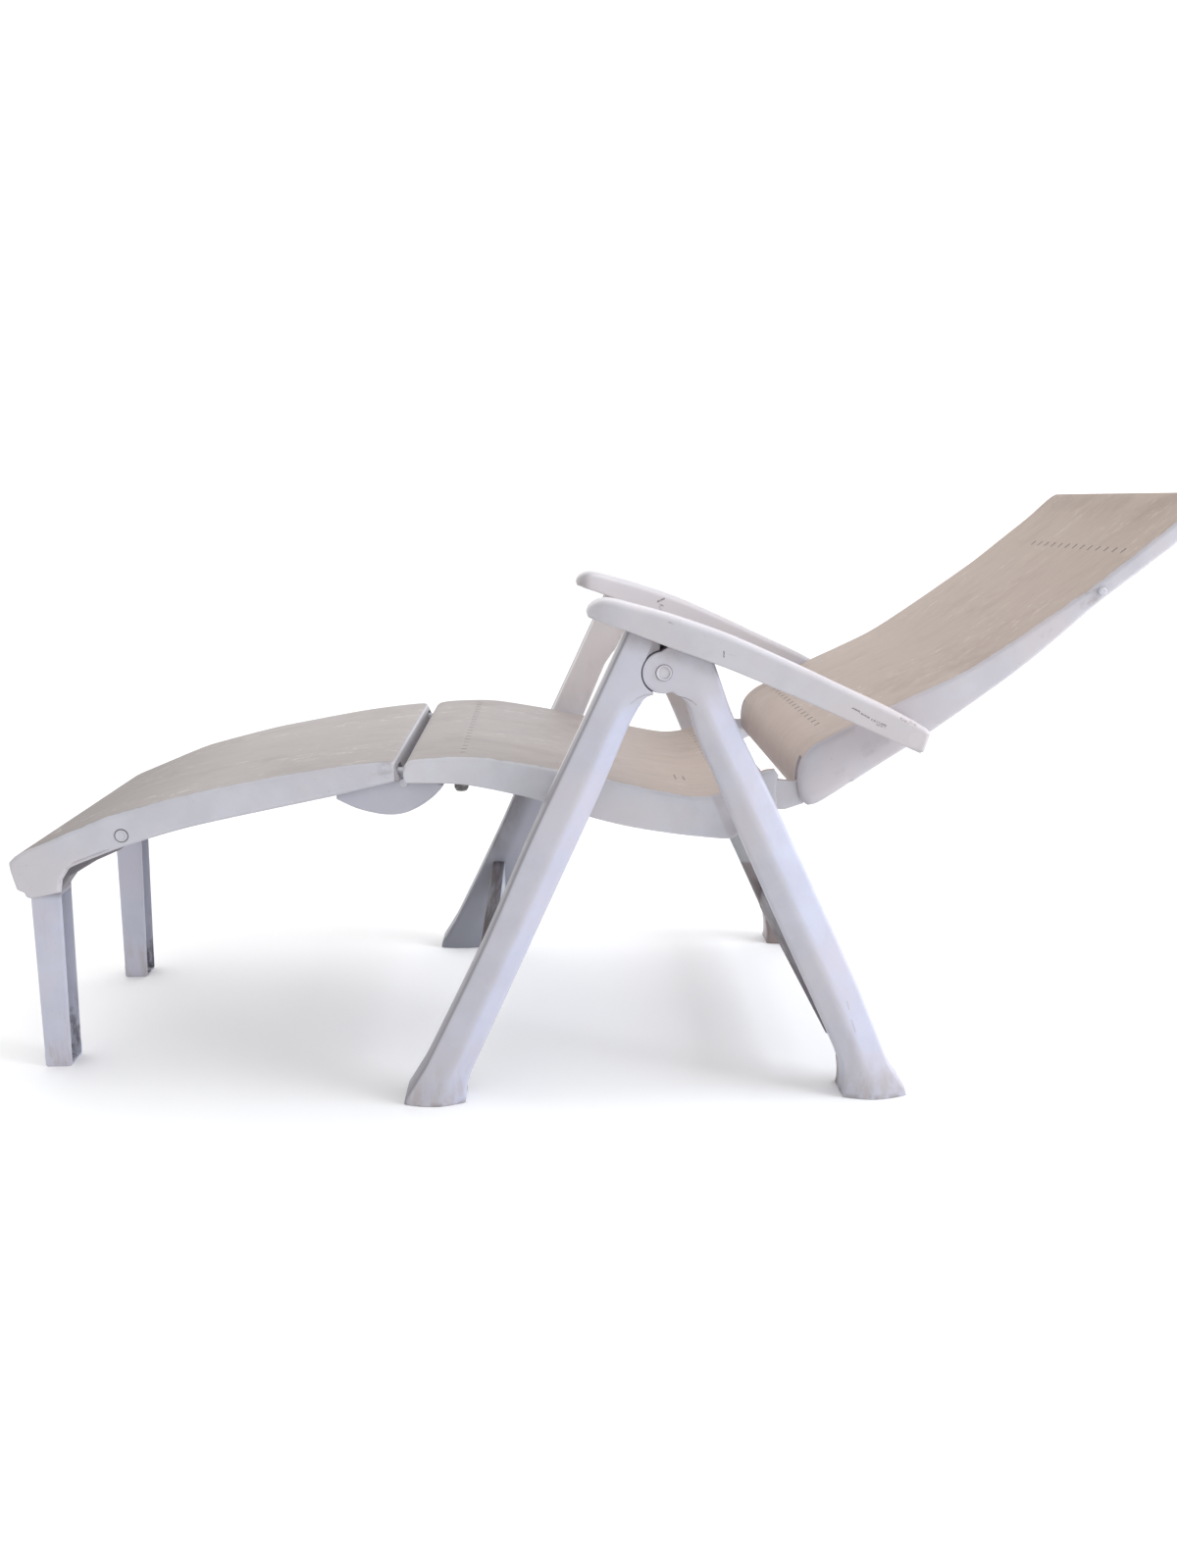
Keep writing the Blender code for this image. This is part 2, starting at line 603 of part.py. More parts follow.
# ------------------------------------------------------------------ footrest
FOOT_TOP = smooth([(-0.7500, 0.2950), (-0.7570, 0.3290), (-0.7535, 0.3390),
                   (-0.7380, 0.3500), (-0.7090, 0.3625), (-0.6680, 0.3795),
                   (-0.6390, 0.3915), (-0.5960, 0.4070), (-0.5000, 0.4320),
                   (-0.4530, 0.4420), (-0.3450, 0.4620), (-0.2840, 0.4710),
                   (-0.2300, 0.4765), (-0.2185, 0.4750)], 3)
FOOT_BOTTOM = ([(-0.2150, 0.4690), (-0.2080, 0.4510), (-0.2095, 0.4485)]
               + smooth([(-0.2930, 0.4290), (-0.3750, 0.4120),
                         (-0.4560, 0.3950), (-0.5200, 0.3800),
                         (-0.5900, 0.3590), (-0.6210, 0.3480),
                         (-0.6670, 0.3300), (-0.6770, 0.3240)], 2)
               + [(-0.6870, 0.3090), (-0.6905, 0.2905), (-0.7325, 0.2825),
                  (-0.7380, 0.2840), (-0.7405, 0.2910)])


def footrest_panel():
    body = plate("footrest_panel", FOOT_TOP + FOOT_BOTTOM, -PANEL_HALF,
                 PANEL_HALF, PARTS, TAUPE)
    inner = offset(FOOT_TOP[8:-3], SKIN)
    hollow = inner + [(-0.2200, 0.4640), (-0.2150, 0.4500), (-0.2150, 0.3300),
                      (-0.5500, 0.2300), (-0.7430, 0.2300), (-0.7430, 0.3000),
                      (-0.7490, 0.3300)]
    inside = PANEL_HALF - FLANGE_T
    cut(body, plate("foot_hollow", hollow, -inside, inside))
    for s in (1, -1):
        a, b = sorted((s * 0.1920, s * 0.2360))
        cut(body, plate("foot_slot_%d" % s,
                        [(-0.230, 0.430), (-0.200, 0.430), (-0.200, 0.4660),
                         (-0.230, 0.4660)], a, b))
    for u, top, low in ((-0.660, 0.3790, 0.368), (-0.550, 0.4150, 0.400),
                        (-0.440, 0.4400, 0.424), (-0.330, 0.4600, 0.444)):
        join(body, plate("foot_rib_%d" % int(-1000 * u),
                         [(u - 0.002, low), (u + 0.002, low),
                          (u + 0.002, top), (u - 0.002, top)],
                         -0.2385, 0.2385))
    for s in (1, -1):
        a, b = sorted((s * 0.225, s * 0.255))
        cut(body, rod("stand_bore_%d" % s, STAND_PIVOT, 0.0050 + GAP, a, b))
    settle(body)
    recolour(body, TAUPE)
    return body


foot = footrest_panel()


def hinge_lobe(name):
    """Rounded bracket inside the footrest that bears up under the seat."""
    arc_low = smooth([(-0.3000, 0.4200), (-0.2750, 0.4075), (-0.2520, 0.4005),
                      (-0.2300, 0.3970), (-0.2080, 0.3985), (-0.1880, 0.4065),
                      (-0.1700, 0.4180), (-0.1560, 0.4310),
                      (-0.1500, 0.4390)], 2)
    outline = arc_low + [(-0.1530, 0.4420), (-0.1800, 0.4560),
                         (-0.2150, 0.4620), (-0.2220, 0.4655),
                         (-0.3000, 0.4600)]
    body = plate(name, outline, LOBE_IN, LOBE_OUT, PARTS, WHITE)
    cut(body, rod(name + "_bore", FOOTREST_PIVOT, 0.0060 + GAP, 0.200, 0.240))
    return body


lobe_left, lobe_right = sided(hinge_lobe, "footrest_hinge_lobe")
stand_pins = pair("footrest_leg_pin", lambda n, s: turned(
    n, STAND_PIVOT,
    [(0.0079, 0.2465), (0.0079, PANEL_HALF + GAP),
     (0.0050, PANEL_HALF + GAP), (0.0050, 0.2370 - GAP),
     (0.0085, 0.2370 - GAP), (0.0085, STAND_OUT + GAP),
     (0.0050, STAND_OUT + GAP), (0.0050, STAND_IN - GAP),
     (0.0080, STAND_IN - GAP), (0.0080, 0.1460)], s))


# ------------------------------------------------------------------ footrest legs
def footrest_leg(name):
    """Channel leg, open to the rear, with an upper arm to the hinge pin."""
    outline = [(-0.7615, 0.0), (-0.7230, 0.0), (-0.7115, 0.2780),
               (-0.6960, 0.2980), (-0.6560, 0.3220), (-0.6200, 0.3380)]
    outline += arc(STAND_PIVOT, 0.0140, -50, 125, 8)
    outline += [(-0.6560, 0.3620), (-0.7180, 0.3280), (-0.7390, 0.3080),
                (-0.7410, 0.2860), (-0.7450, 0.2790), (-0.7550, 0.2760)]
    body = plate(name, outline, STAND_IN, STAND_OUT, PARTS, WHITE)
    channel = [(-0.7573, 0.0040), (-0.7100, 0.0040), (-0.6980, 0.2700),
               (-0.7510, 0.2700)]
    cut(body, plate(name + "_channel", channel, STAND_IN + STAND_WALL,
                    STAND_OUT - STAND_WALL))
    cut(body, rod(name + "_bore", STAND_PIVOT, 0.0050 + GAP, 0.140, 0.200))
    return body


stand_left, stand_right = sided(footrest_leg, "footrest_leg")
tie = settle(rod("footrest_leg_tie", (-0.7200, 0.3000), 0.0080,
                 -(STAND_IN - GAP), STAND_IN - GAP, PARTS, WHITE, seg=16))


# ------------------------------------------------------------------ assembly
def axis_empty(name, p, parent=None):
    """Empty on a joint axis; the pieces that turn about it are its children."""
    e = bpy.data.objects.new(name, None)
    e.empty_display_size = 0.05
    y, z = yz(p)
    e.location = (0, y, z) if parent is None else (
        Vector((0, y, z)) - world_of(parent))
    e.parent = parent
    PARTS.objects.link(e)
    WORLD[e.name] = Vector((0, y, z))
    return e


WORLD = {}


def world_of(e):
    return WORLD[e.name]


def carry(empty, *obs):
    for ob in obs:
        at = world_of(empty)
        ob.data.transform(Matrix.Translation(-at))
        ob.location = (0, 0, 0)
        ob.parent = empty


front_axis = axis_empty("frame_fold_axis", SEAT_PIVOT)
rear_axis = axis_empty("rear_leg_fold_axis", FRAME_PIVOT, front_axis)
back_axis = axis_empty("back_recline_axis", BACK_PIVOT)
arm_axis_l = axis_empty("arm_left_axis", ARM_PIVOT, back_axis)
arm_axis_r = axis_empty("arm_right_axis", ARM_PIVOT, back_axis)
foot_axis = axis_empty("footrest_axis", FOOTREST_PIVOT)
stand_axis = axis_empty("footrest_leg_axis", STAND_PIVOT, foot_axis)

carry(front_axis, fleg_left, fleg_right, front_bar, *top_pegs,
      *frame_pins)
carry(rear_axis, rleg_left, rleg_right, rear_bar, *rest_pegs)
carry(back_axis, back, *arm_pins, *side_pegs)
carry(arm_axis_l, arm_left, rack_left)
carry(arm_axis_r, arm_right, rack_right)
carry(foot_axis, foot, lobe_left, lobe_right, *stand_pins)
carry(stand_axis, stand_left, stand_right, tie)

for ob in PARTS.objects:
    if ob.type == 'MESH':
        ob.data.shade_smooth()
        ob.data.set_sharp_from_angle(angle=math.radians(30))
bpy.context.view_layer.update()
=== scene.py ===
"""Looks of the reclining garden chair: weathered moulded resin, modelled finely.

Every panel, leg, arm and bracket is built here as a rounded moulding in the
same frame as the fixed model.  Side-view points are written (u, z), where
Y = u - U_MID.  The chair faces -Y, the backrest leans towards +Y.
"""
import math
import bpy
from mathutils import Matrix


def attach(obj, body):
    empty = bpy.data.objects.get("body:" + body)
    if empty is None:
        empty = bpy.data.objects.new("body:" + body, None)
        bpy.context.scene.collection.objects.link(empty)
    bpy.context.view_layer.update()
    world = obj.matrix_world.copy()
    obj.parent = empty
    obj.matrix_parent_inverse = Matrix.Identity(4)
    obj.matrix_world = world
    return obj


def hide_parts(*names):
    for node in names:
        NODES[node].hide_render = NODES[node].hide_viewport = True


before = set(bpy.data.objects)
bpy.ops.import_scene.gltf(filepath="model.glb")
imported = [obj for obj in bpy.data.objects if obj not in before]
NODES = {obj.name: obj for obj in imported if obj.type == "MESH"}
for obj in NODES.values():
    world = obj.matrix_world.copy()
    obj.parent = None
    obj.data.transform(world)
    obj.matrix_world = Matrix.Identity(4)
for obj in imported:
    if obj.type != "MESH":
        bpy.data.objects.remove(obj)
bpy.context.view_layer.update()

import bmesh
import bpy
import numpy as np
from mathutils import Matrix, Vector
from mathutils.geometry import delaunay_2d_cdt

U_MID = 0.06625

# ------------------------------------------------------------------ camera
CAM = np.array([1.84, 0.0, 0.826])          # (X, u, z)
PITCH, YAW, FOCAL = math.radians(13.5), math.radians(1.9), 1200.0
FW = np.array([-math.cos(PITCH) * math.cos(YAW),
               math.cos(PITCH) * math.sin(YAW), -math.sin(PITCH)])
RT = np.array([math.sin(YAW), math.cos(YAW), 0.0])
UP = np.cross(RT, FW)


def seen(px, py, x):
    """(u, z) where the view through a point of the frame meets the plane X=x."""
    d = FW + RT * (px - 600.0) / FOCAL - UP * (py - 799.5) / FOCAL
    t = (x - CAM[0]) / d[0]
    p = CAM + d * t
    return float(p[1]), float(p[2])


def make_camera():
    cd = bpy.data.cameras.new("camera")
    cd.sensor_fit = 'VERTICAL'
    cd.sensor_height = 36.0
    cd.lens = 36.0 * FOCAL / 1599.0
    cd.clip_start = 0.05
    cd.clip_end = 60.0
    cam = bpy.data.objects.new("camera", cd)
    m = Matrix((RT, UP, -FW)).transposed().to_4x4()
    m.translation = Vector((CAM[0], CAM[1] - U_MID, CAM[2]))
    cam.matrix_world = m
    bpy.context.scene.collection.objects.link(cam)
    bpy.context.scene.camera = cam


make_camera()


# ------------------------------------------------------------------ outlines
def smooth(ctrl, per=6):
    """Catmull-Rom curve through the control points."""
    out = []
    n = len(ctrl)
    for i in range(n - 1):
        p0 = ctrl[max(i - 1, 0)]
        p1, p2 = ctrl[i], ctrl[i + 1]
        p3 = ctrl[min(i + 2, n - 1)]
        for k in range(per):
            t = k / per
            out.append(tuple(
                0.5 * (2 * p1[j] + (p2[j] - p0[j]) * t
                       + (2 * p0[j] - 5 * p1[j] + 4 * p2[j] - p3[j]) * t * t
                       + (3 * p1[j] - p0[j] - 3 * p2[j] + p3[j]) * t ** 3)
                for j in (0, 1)))
    out.append(tuple(ctrl[-1]))
    return out


def arc(c, r, a0, a1, n):
    return [(c[0] + r * math.cos(math.radians(a0 + (a1 - a0) * k / n)),
             c[1] + r * math.sin(math.radians(a0 + (a1 - a0) * k / n)))
            for k in range(n + 1)]


def offset(line, d):
    out = []
    for i, p in enumerate(line):
        a = line[max(i - 1, 0)]
        b = line[min(i + 1, len(line) - 1)]
        t = Vector((b[0] - a[0], b[1] - a[1])).normalized()
        out.append((p[0] + t.y * d, p[1] - t.x * d))
    return out


def tidy(pts, eps=2e-4):
    out = []
    for p in pts:
        if not out or math.dist(out[-1], p) > eps:
            out.append((float(p[0]), float(p[1])))
    if math.dist(out[0], out[-1]) <= eps:
        out.pop()
    return out


def dense(pts, step):
    """Closed outline with no stretch longer than step."""
    out = []
    n = len(pts)
    for i in range(n):
        a, b = pts[i], pts[(i + 1) % n]
        k = max(1, int(math.ceil(math.dist(a, b) / step)))
        for j in range(k):
            t = j / k
            out.append((a[0] + (b[0] - a[0]) * t, a[1] + (b[1] - a[1]) * t))
    return out


def corner_round(pts, radius, limit=25.0, n=4):
    """Round the sharp corners of a closed outline."""
    out = []
    m = len(pts)
    for i in range(m):
        p = Vector(pts[i])
        a, b = Vector(pts[i - 1]), Vector(pts[(i + 1) % m])
        va, vb = (a - p), (b - p)
        la, lb = va.length, vb.length
        turn = 180.0 - math.degrees(va.angle(vb))
        if turn < limit:
            out.append(tuple(p))
            continue
        d = min(radius * math.tan(math.radians(turn / 2)), la * 0.45, lb * 0.45)
        pa, pb = p + va / la * d, p + vb / lb * d
        for k in range(n + 1):
            t = k / n
            out.append(tuple(pa * (1 - t) ** 2 + p * 2 * t * (1 - t)
                             + pb * t * t))
    return out


def edge_distance(pts, loop):
    """Distance of every point to a closed outline."""
    p = np.asarray(pts, float)
    a = np.asarray(loop, float)
    b = np.roll(a, -1, axis=0)
    best = np.full(len(p), 1e9)
    ab = b - a
    l2 = (ab ** 2).sum(1) + 1e-18
    for s in range(0, len(p), 2000):
        q = p[s:s + 2000, None, :] - a[None]
        t = np.clip((q * ab[None]).sum(2) / l2[None], 0, 1)
        d = np.sqrt(((q - ab[None] * t[..., None]) ** 2).sum(2))
        best[s:s + 2000] = d.min(1)
    return best


def inside(pts, loop):
    p = np.asarray(pts, float)
    a = np.asarray(loop, float)
    b = np.roll(a, -1, axis=0)
    px, py = p[:, 0, None], p[:, 1, None]
    cond = (a[None, :, 1] > py) != (b[None, :, 1] > py)
    dy = b[:, 1] - a[:, 1]
    dy = np.where(np.abs(dy) < 1e-15, 1e-15, dy)
    xs = (b[:, 0] - a[:, 0])[None] * (py - a[None, :, 1]) / dy[None] + a[None, :, 0]
    return ((cond & (px < xs)).sum(1) % 2) == 1


RINGS = (0.05, 0.16, 0.34, 0.58, 0.85, 1.08)


def moulding(name, outline, outer, inner, r=0.005, grid=0.008, step=0.004,
             rings=RINGS):
    """Closed moulding with a side-view outline.  outer and inner give X for
    arrays (u, z, d), where d is the distance from the outline."""
    loop = dense(tidy(outline), step)
    L = np.asarray(loop)
    area = 0.5 * np.sum(L[:, 0] * np.roll(L[:, 1], -1)
                        - np.roll(L[:, 0], -1) * L[:, 1])
    if area < 0:
        loop = loop[::-1]
        L = np.asarray(loop)
    tan = np.roll(L, -1, axis=0) - np.roll(L, 1, axis=0)
    tan /= np.linalg.norm(tan, axis=1)[:, None] + 1e-15
    nrm = np.stack([-tan[:, 1], tan[:, 0]], 1)
    pts = [L]
    for k in rings:
        cand = L + nrm * (r * k)
        ok = inside(cand, L)
        cand = cand[ok]
        d = edge_distance(cand, L)
        cand = cand[np.abs(d - r * k) < 0.04 * r * k + 2e-5]
        pts.append(cand)
    lo, hi = L.min(0), L.max(0)
    gx = np.arange(lo[0], hi[0], grid)
    gy = np.arange(lo[1], hi[1], grid * 0.87)
    G = np.array([(x + (grid / 2 if j % 2 else 0), y)
                  for j, y in enumerate(gy) for x in gx])
    G = G[inside(G, L)]
    G = G[edge_distance(G, L) > r * (max(rings) + 0.35)]
    pts.append(G)
    P = np.concatenate(pts)
    n = len(L)
    vs, es, fs, *_ = delaunay_2d_cdt([Vector(p) for p in P],
                                     [(i, (i + 1) % n) for i in range(n)],
                                     [list(range(n))], 1, 1e-7)
    V = np.array([(v.x, v.y) for v in vs])
    d = edge_distance(V, L)
    d[d < 1e-6] = 0.0
    xo = np.broadcast_to(outer(V[:, 0], V[:, 1], d), (len(V),))
    xi = np.broadcast_to(inner(V[:, 0], V[:, 1], d), (len(V),))
    bm = bmesh.new()
    vo = [bm.verts.new((xo[i], V[i, 0] - U_MID, V[i, 1])) for i in range(len(V))]
    vi = [bm.verts.new((xi[i], V[i, 0] - U_MID, V[i, 1])) for i in range(len(V))]
    count = {}
    for f in fs:
        f = list(f)
        bm.faces.new([vo[i] for i in f])
        bm.faces.new([vi[i] for i in reversed(f)])
        for i, j in zip(f, f[1:] + f[:1]):
            count.setdefault(frozenset((i, j)), []).append((i, j))
    for key, uses in count.items():
        if len(uses) == 1:
            i, j = uses[0]
            bm.faces.new([vo[j], vo[i], vi[i], vi[j]])
    loose = [v for v in bm.verts if not v.link_faces]
    bmesh.ops.delete(bm, geom=loose, context='VERTS')
    bmesh.ops.recalc_face_normals(bm, faces=bm.faces)
    return to_object(name, bm)


def to_object(name, bm):
    me = bpy.data.meshes.new(name)
    bm.to_mesh(me)
    bm.free()
    ob = bpy.data.objects.new(name, me)
    bpy.context.scene.collection.objects.link(ob)
    return ob


def prism(name, outline, x0, x1):
    """Plain extrusion of a side-view outline, used as a cutting tool."""
    pts = tidy(outline, 1e-5)
    bm = bmesh.new()
    a = [bm.verts.new((x0, u - U_MID, z)) for u, z in pts]
    b = [bm.verts.new((x1, u - U_MID, z)) for u, z in pts]
    bm.faces.new(a)
    bm.faces.new(b[::-1])
    n = len(pts)
    for i in range(n):
        j = (i + 1) % n
        bm.faces.new([a[j], a[i], b[i], b[j]])
    bmesh.ops.recalc_face_normals(bm, faces=bm.faces)
    return to_object(name, bm)


def rounded(x, r, side=1.0):
    """X of a face whose edge is rounded with radius r (a number or f(u, z))."""
    def f(u, z, d):
        rr = r(u, z) if callable(r) else r
        xx = x(u, z) if callable(x) else x
        dd = np.clip(d, 0, rr)
        return xx - side * (rr - np.sqrt(np.maximum(rr ** 2 - (rr - dd) ** 2, 0)))
    return f


def boolean(ob, tool, op='DIFFERENCE'):
    md = ob.modifiers.new("b", 'BOOLEAN')
    md.operation = op
    md.solver = 'EXACT'
    md.object = tool
    bpy.context.view_layer.update()
    deps = bpy.context.evaluated_depsgraph_get()
    me = bpy.data.meshes.new_from_object(ob.evaluated_get(deps))
    ob.modifiers.clear()
    old = ob.data
    ob.data = me
    me.name = ob.name
    bpy.data.meshes.remove(old)
    tm = tool.data
    bpy.data.objects.remove(tool, do_unlink=True)
    bpy.data.meshes.remove(tm)
    return ob


def absorb(ob, *others):
    """Add the shells of other objects to ob's mesh."""
    bm = bmesh.new()
    bm.from_mesh(ob.data)
    for o in others:
        bm.from_mesh(o.data)
        me = o.data
        bpy.data.objects.remove(o, do_unlink=True)
        bpy.data.meshes.remove(me)
    bm.to_mesh(ob.data)
    bm.free()
    return ob


def cylinder(name, centre, r, x0, x1, seg=48):
    return prism(name, arc(centre, r, 0, 360 - 360 / seg, seg - 1), x0, x1)


def turned(name, centre, profile, seg=48):
    """Solid of revolution about X; profile is (radius, x) points in order."""
    bm = bmesh.new()
    rings = []
    for r, x in profile:
        if r < 1e-6:
            rings.append([bm.verts.new((x, centre[0] - U_MID, centre[1]))])
        else:
            rings.append([bm.verts.new((
                x, centre[0] - U_MID + r * math.cos(math.tau * k / seg),
                centre[1] + r * math.sin(math.tau * k / seg)))
                for k in range(seg)])
    for a, b in zip(rings, rings[1:]):
        for k in range(seg):
            j = (k + 1) % seg
            if len(a) == 1 and len(b) == 1:
                continue
            if len(a) == 1:
                bm.faces.new([a[0], b[k], b[j]])
            elif len(b) == 1:
                bm.faces.new([a[k], a[j], b[0]])
            else:
                bm.faces.new([a[k], a[j], b[j], b[k]])
    bmesh.ops.recalc_face_normals(bm, faces=bm.faces)
    return to_object(name, bm)


def finish_mesh(ob, angle=32.0):
    me = ob.data
    bm = bmesh.new()
    bm.from_mesh(me)
    bmesh.ops.remove_doubles(bm, verts=bm.verts, dist=1e-6)
    bmesh.ops.dissolve_degenerate(bm, edges=bm.edges, dist=1e-6)
    bmesh.ops.recalc_face_normals(bm, faces=bm.faces)
    bm.to_mesh(me)
    bm.free()
    me.shade_smooth()
    me.set_sharp_from_angle(angle=math.radians(angle))
    return ob


def mirrored(ob, name):
    me = ob.data.copy()
    me.transform(Matrix.Scale(-1, 4, (1, 0, 0)))
    me.flip_normals()
    me.name = name
    new = bpy.data.objects.new(name, me)
    bpy.context.scene.collection.objects.link(new)
    return new


# ------------------------------------------------------------------ node tools
class Web:
    """Small helper to wire a material."""

    def __init__(self, name):
        self.mat = bpy.data.materials.new(name)
        self.mat.use_nodes = True
        self.t = self.mat.node_tree
        self.bsdf = self.t.nodes["Principled BSDF"]
        tc = self.t.nodes.new("ShaderNodeTexCoord")
        self.obj = tc.outputs["Object"]
        self.nrm = tc.outputs["Normal"]
        self._xyz = {}

    def new(self, kind, **kw):
        n = self.t.nodes.new(kind)
        for k, v in kw.items():
            setattr(n, k, v)
        return n

    def put(self, sock, v):
        if isinstance(v, bpy.types.NodeSocket):
            self.t.links.new(v, sock)
        else:
            sock.default_value = v

    def math(self, op, a, b=0.0, c=None, clamp=False):
        n = self.new("ShaderNodeMath", operation=op, use_clamp=clamp)
        self.put(n.inputs[0], a)
        self.put(n.inputs[1], b)
        if c is not None:
            self.put(n.inputs[2], c)
        return n.outputs[0]

    def vec(self, op, a, b=(0, 0, 0)):
        n = self.new("ShaderNodeVectorMath", operation=op)
        self.put(n.inputs[0], a)
        if op == 'SCALE':
            self.put(n.inputs["Scale"], b)
        else:
            self.put(n.inputs[1], b)
        return n.outputs["Value"] if op in ('DOT_PRODUCT', 'LENGTH', 'DISTANCE') \
            else n.outputs["Vector"]

    def xyz(self, which="obj"):
        if which not in self._xyz:
            n = self.new("ShaderNodeSeparateXYZ")
            self.put(n.inputs[0], self.obj if which == "obj" else self.nrm)
            self._xyz[which] = n.outputs
        return self._xyz[which]

    def noise(self, scale, detail=3.0, rough=0.5, dist=0.0, vec=None, size=1.0):
        n = self.new("ShaderNodeTexNoise")
        v = self.obj if vec is None else vec
        if not isinstance(scale, (int, float)):
            v = self.vec('MULTIPLY', v, scale)
            scale = size
        self.put(n.inputs["Vector"], v)
        n.inputs["Scale"].default_value = scale
        n.inputs["Detail"].default_value = detail
        n.inputs["Roughness"].default_value = rough
        n.inputs["Distortion"].default_value = dist
        return n.outputs["Fac"]

    def ramp(self, v, a, b, lo=0.0, hi=1.0, kind='SMOOTHSTEP'):
        n = self.new("ShaderNodeMapRange", interpolation_type=kind)
        self.put(n.inputs["Value"], v)
        self.put(n.inputs["From Min"], a)
        self.put(n.inputs["From Max"], b)
        self.put(n.inputs["To Min"], lo)
        self.put(n.inputs["To Max"], hi)
        return n.outputs["Result"]

    def mix(self, f, a, b, mode='MIX'):
        n = self.new("ShaderNodeMix", data_type='RGBA', blend_type=mode)
        self.put(n.inputs[0], f)
        for s, v in ((n.inputs[6], a), (n.inputs[7], b)):
            if isinstance(v, (tuple, list)):
                v = (*v, 1.0) if len(v) == 3 else tuple(v)
            self.put(s, v)
        return n.outputs[2]

    def stroke(self, a, b, width, x=None, soft=0.5):
        """1 on a stroke between two side-view points, fading out sideways.
        x=(lo, hi) limits it to one range across the chair."""
        o = self.xyz()
        comb = self.new("ShaderNodeCombineXYZ")
        self.put(comb.inputs[1], o[1])
        self.put(comb.inputs[2], o[2])
        A = (0.0, a[0] - U_MID, a[1])
        B = (0.0, b[0] - U_MID, b[1])
        ab = Vector(B) - Vector(A)
        l2 = max(ab.length_squared, 1e-10)
        pa = self.vec('SUBTRACT', comb.outputs[0], A)
        t = self.math('DIVIDE', self.vec('DOT_PRODUCT', pa, tuple(ab)), l2,
                      clamp=True)
        q = self.vec('SCALE', tuple(ab), t)
        d = self.vec('LENGTH', self.vec('SUBTRACT', pa, q))
        m = self.ramp(d, width * soft, width, 1.0, 0.0)
        if x is not None:
            m = self.math('MULTIPLY', m, self.math('GREATER_THAN', o[0], x[0]))
            m = self.math('MULTIPLY', m, self.math('LESS_THAN', o[0], x[1]))
        return m

    def blob(self, c, size, soft=0.4):
        """1 near a point (x, u, z), with radii size, fading outwards."""
        p = self.vec('SUBTRACT', self.obj, (c[0], c[1] - U_MID, c[2]))
        p = self.vec('DIVIDE', p, size)
        return self.ramp(self.vec('LENGTH', p), soft, 1.0, 1.0, 0.0)

    def add(self, *vs):
        out = vs[0]
        for v in vs[1:]:
            out = self.math('MAXIMUM', out, v)
        return out

    def bump(self, height, strength=0.2, dist=0.001, after=None):
        n = self.new("ShaderNodeBump")
        n.inputs["Strength"].default_value = strength
        n.inputs["Distance"].default_value = dist
        self.put(n.inputs["Height"], height)
        if after is not None:
            self.put(n.inputs["Normal"], after)
        return n.outputs["Normal"]


WHITE_RGB = (0.500, 0.497, 0.545)
SHADE_RGB = (0.395, 0.386, 0.425)
WARM_RGB = (0.510, 0.475, 0.490)
# dirt colour; the crevice mixes also use it for painted crevice shade
DIRT_AND_SHADE_RGB = (0.255, 0.225, 0.215)
DARK_RGB = (0.085, 0.078, 0.085)


